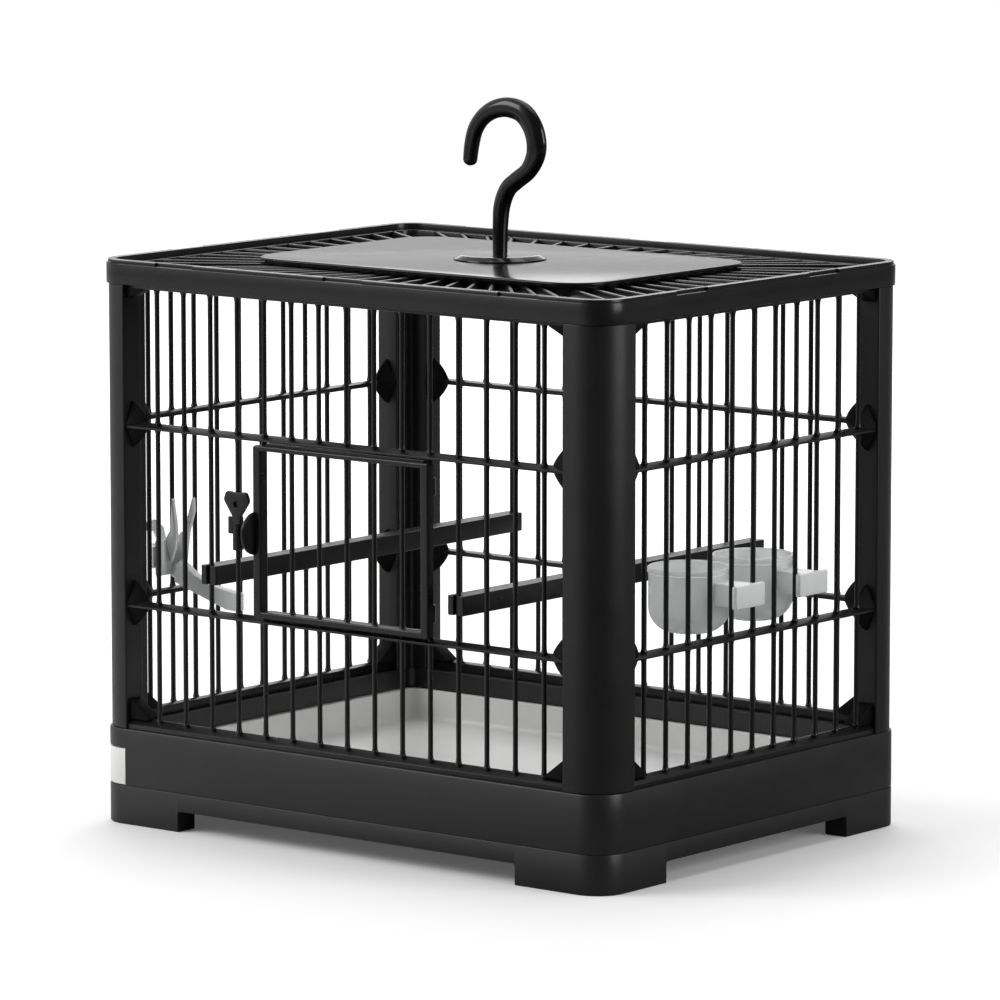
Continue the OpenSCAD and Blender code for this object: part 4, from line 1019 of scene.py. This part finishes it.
# Name, place, height of its aim above the floor's middle, size and power of each lamp
LAMPS = (
    ("key", (-1.3, -1.6, 1.5), 0.15, 1.2, 25),
    ("top", (0.1, 0.3, 1.9), 0.2, 1.4, 10),
    ("behind", (-1.15, 1.45, 1.4), 0.15, 1.3, 13),
    ("right", (2.2, 0.5, 0.9), 0.15, 1.2, 24),
)
CAMERA_PLACE, CAMERA_AIM = (1.8591, -2.3306 + MIDDLE_Y, 0.5690), (0.0234, -0.0294 + MIDDLE_Y, 0.1574)
CAMERA_LENS, CAMERA_SENSOR = 232.65, 36


def camera_share(tree):
    """1 on a camera ray, and on a ray that has passed through clear plastic, else 0."""
    path = node(tree, "ShaderNodeLightPath").outputs
    seen = path["Is Camera Ray"], path["Is Transmission Ray"]
    return node(tree, "ShaderNodeMath", *seen, operation="MAXIMUM").outputs[0]


def blended(tree, share, low, high):
    """A number between two sockets or values, by share."""
    made = node(tree, "ShaderNodeMix", share, data_type="FLOAT")
    for slot, value in ((2, low), (3, high)):
        if isinstance(value, float):
            made.inputs[slot].default_value = value
        else:
            tree.links.new(value, made.inputs[slot])
    return made.outputs[0]


def summed(tree, first, second):
    """Sum of two sockets."""
    return node(tree, "ShaderNodeMath", first, second, operation="ADD").outputs[0]


def along_direction(tree, vector, direction):
    """Share of a vector along a fixed direction."""
    made = node(tree, "ShaderNodeVectorMath", vector, operation="DOT_PRODUCT")
    made.inputs[1].default_value = direction
    return made.outputs["Value"]


def floor():
    """White floor that keeps the carrier's shadow. To the camera it is white all over, with a glow that grows
    with the distance from the carrier. As light and in reflections its colour carries a painted shade that dims
    it towards the right, and a painted light that makes it a little brighter again far behind on the right."""
    mesh = bpy.data.meshes.new("floor")
    corners = [(x * FLOOR_SIZE, y * FLOOR_SIZE, 0) for x, y in ((-1, -1), (1, -1), (1, 1), (-1, 1))]
    mesh.from_pydata(corners, [], [(0, 1, 2, 3)])
    made = linked("floor", mesh)
    finish, tree, shader = material("floor_white")
    seen = camera_share(tree)
    place = node(tree, "ShaderNodeTexCoord").outputs["Object"]
    # Painted shade: the floor's colour for light and reflections darkens towards the right; far adds a painted
    # light far behind on the right
    near = scaled(tree, along_direction(tree, place, (-1, 0, 0)), *FLOOR_SHADE_LEVELS, *FLOOR_SHADE_REACH, "SMOOTHSTEP")
    far = scaled(tree, along_direction(tree, place, FAR_SIDE), 0, FAR_LEVEL, *FAR_FLOOR_LIGHT)
    shade = blended(tree, seen, summed(tree, near, far), FLOOR_WHITE)
    grey = node(tree, "ShaderNodeCombineColor", shade, shade, shade)
    tree.links.new(grey.outputs[0], shader.inputs["Base Color"])
    shader.inputs["Roughness"].default_value = 0.9
    shader.inputs["Specular IOR Level"].default_value = 0
    shader.inputs["Emission Color"].default_value = (1, 1, 1, 1)
    away = node(tree, "ShaderNodeVectorMath", place, operation="LENGTH")
    glow = scaled(tree, away.outputs["Value"], *FLOOR_GLOW, *GLOW_REACH, "SMOOTHSTEP")
    tree.links.new(blended(tree, seen, 0.0, glow), shader.inputs["Emission Strength"])
    mesh.materials.append(finish)


def faced(made, place, target):
    """Stands an object at place and turns it to face the target."""
    made.location = place
    made.rotation_euler = (Vector(target) - Vector(place)).to_track_quat("-Z", "Y").to_euler()


def area_light(name, place, aim_height, size, power):
    """Soft square lamp at place, facing the carrier's middle line at the given height."""
    lamp = bpy.data.lights.new(name, "AREA")
    lamp.shape = "SQUARE"
    lamp.size = size
    lamp.energy = power
    made = linked(name, lamp)
    faced(made, place, (0, 0, aim_height))


def surroundings():
    """White surroundings to the camera. As light and in reflections they are a studio that is pale on the
    carrier's left and dim on its right, by the share of a ray's direction along BRIGHT_SIDE, and a little
    brighter again far behind on the right."""
    world = bpy.data.worlds.new("studio")
    world.use_nodes = True
    bpy.context.scene.world = world
    tree = world.node_tree
    ray = node(tree, "ShaderNodeTexCoord").outputs["Generated"]
    near = scaled(tree, along_direction(tree, ray, BRIGHT_SIDE), *STUDIO_LEVELS, *STUDIO_REACH, "SMOOTHSTEP")
    far = scaled(tree, along_direction(tree, ray, FAR_SIDE), 0, FAR_LEVEL, *FAR_STUDIO)
    level = blended(tree, camera_share(tree), summed(tree, near, far), 1.0)
    tree.links.new(level, tree.nodes["Background"].inputs["Strength"])
    tree.nodes["Background"].inputs["Color"].default_value = (1, 1, 1, 1)


def camera():
    """Camera at the photograph's place, in the row frame."""
    data = bpy.data.cameras.new("camera")
    data.sensor_width, data.lens = CAMERA_SENSOR, CAMERA_LENS
    made = linked("camera", data)
    faced(made, CAMERA_PLACE, CAMERA_AIM)
    bpy.context.scene.camera = made
    bpy.context.scene.view_settings.view_transform = "Standard"


floor()
surroundings()
for lamp in LAMPS:
    area_light(*lamp)
camera()
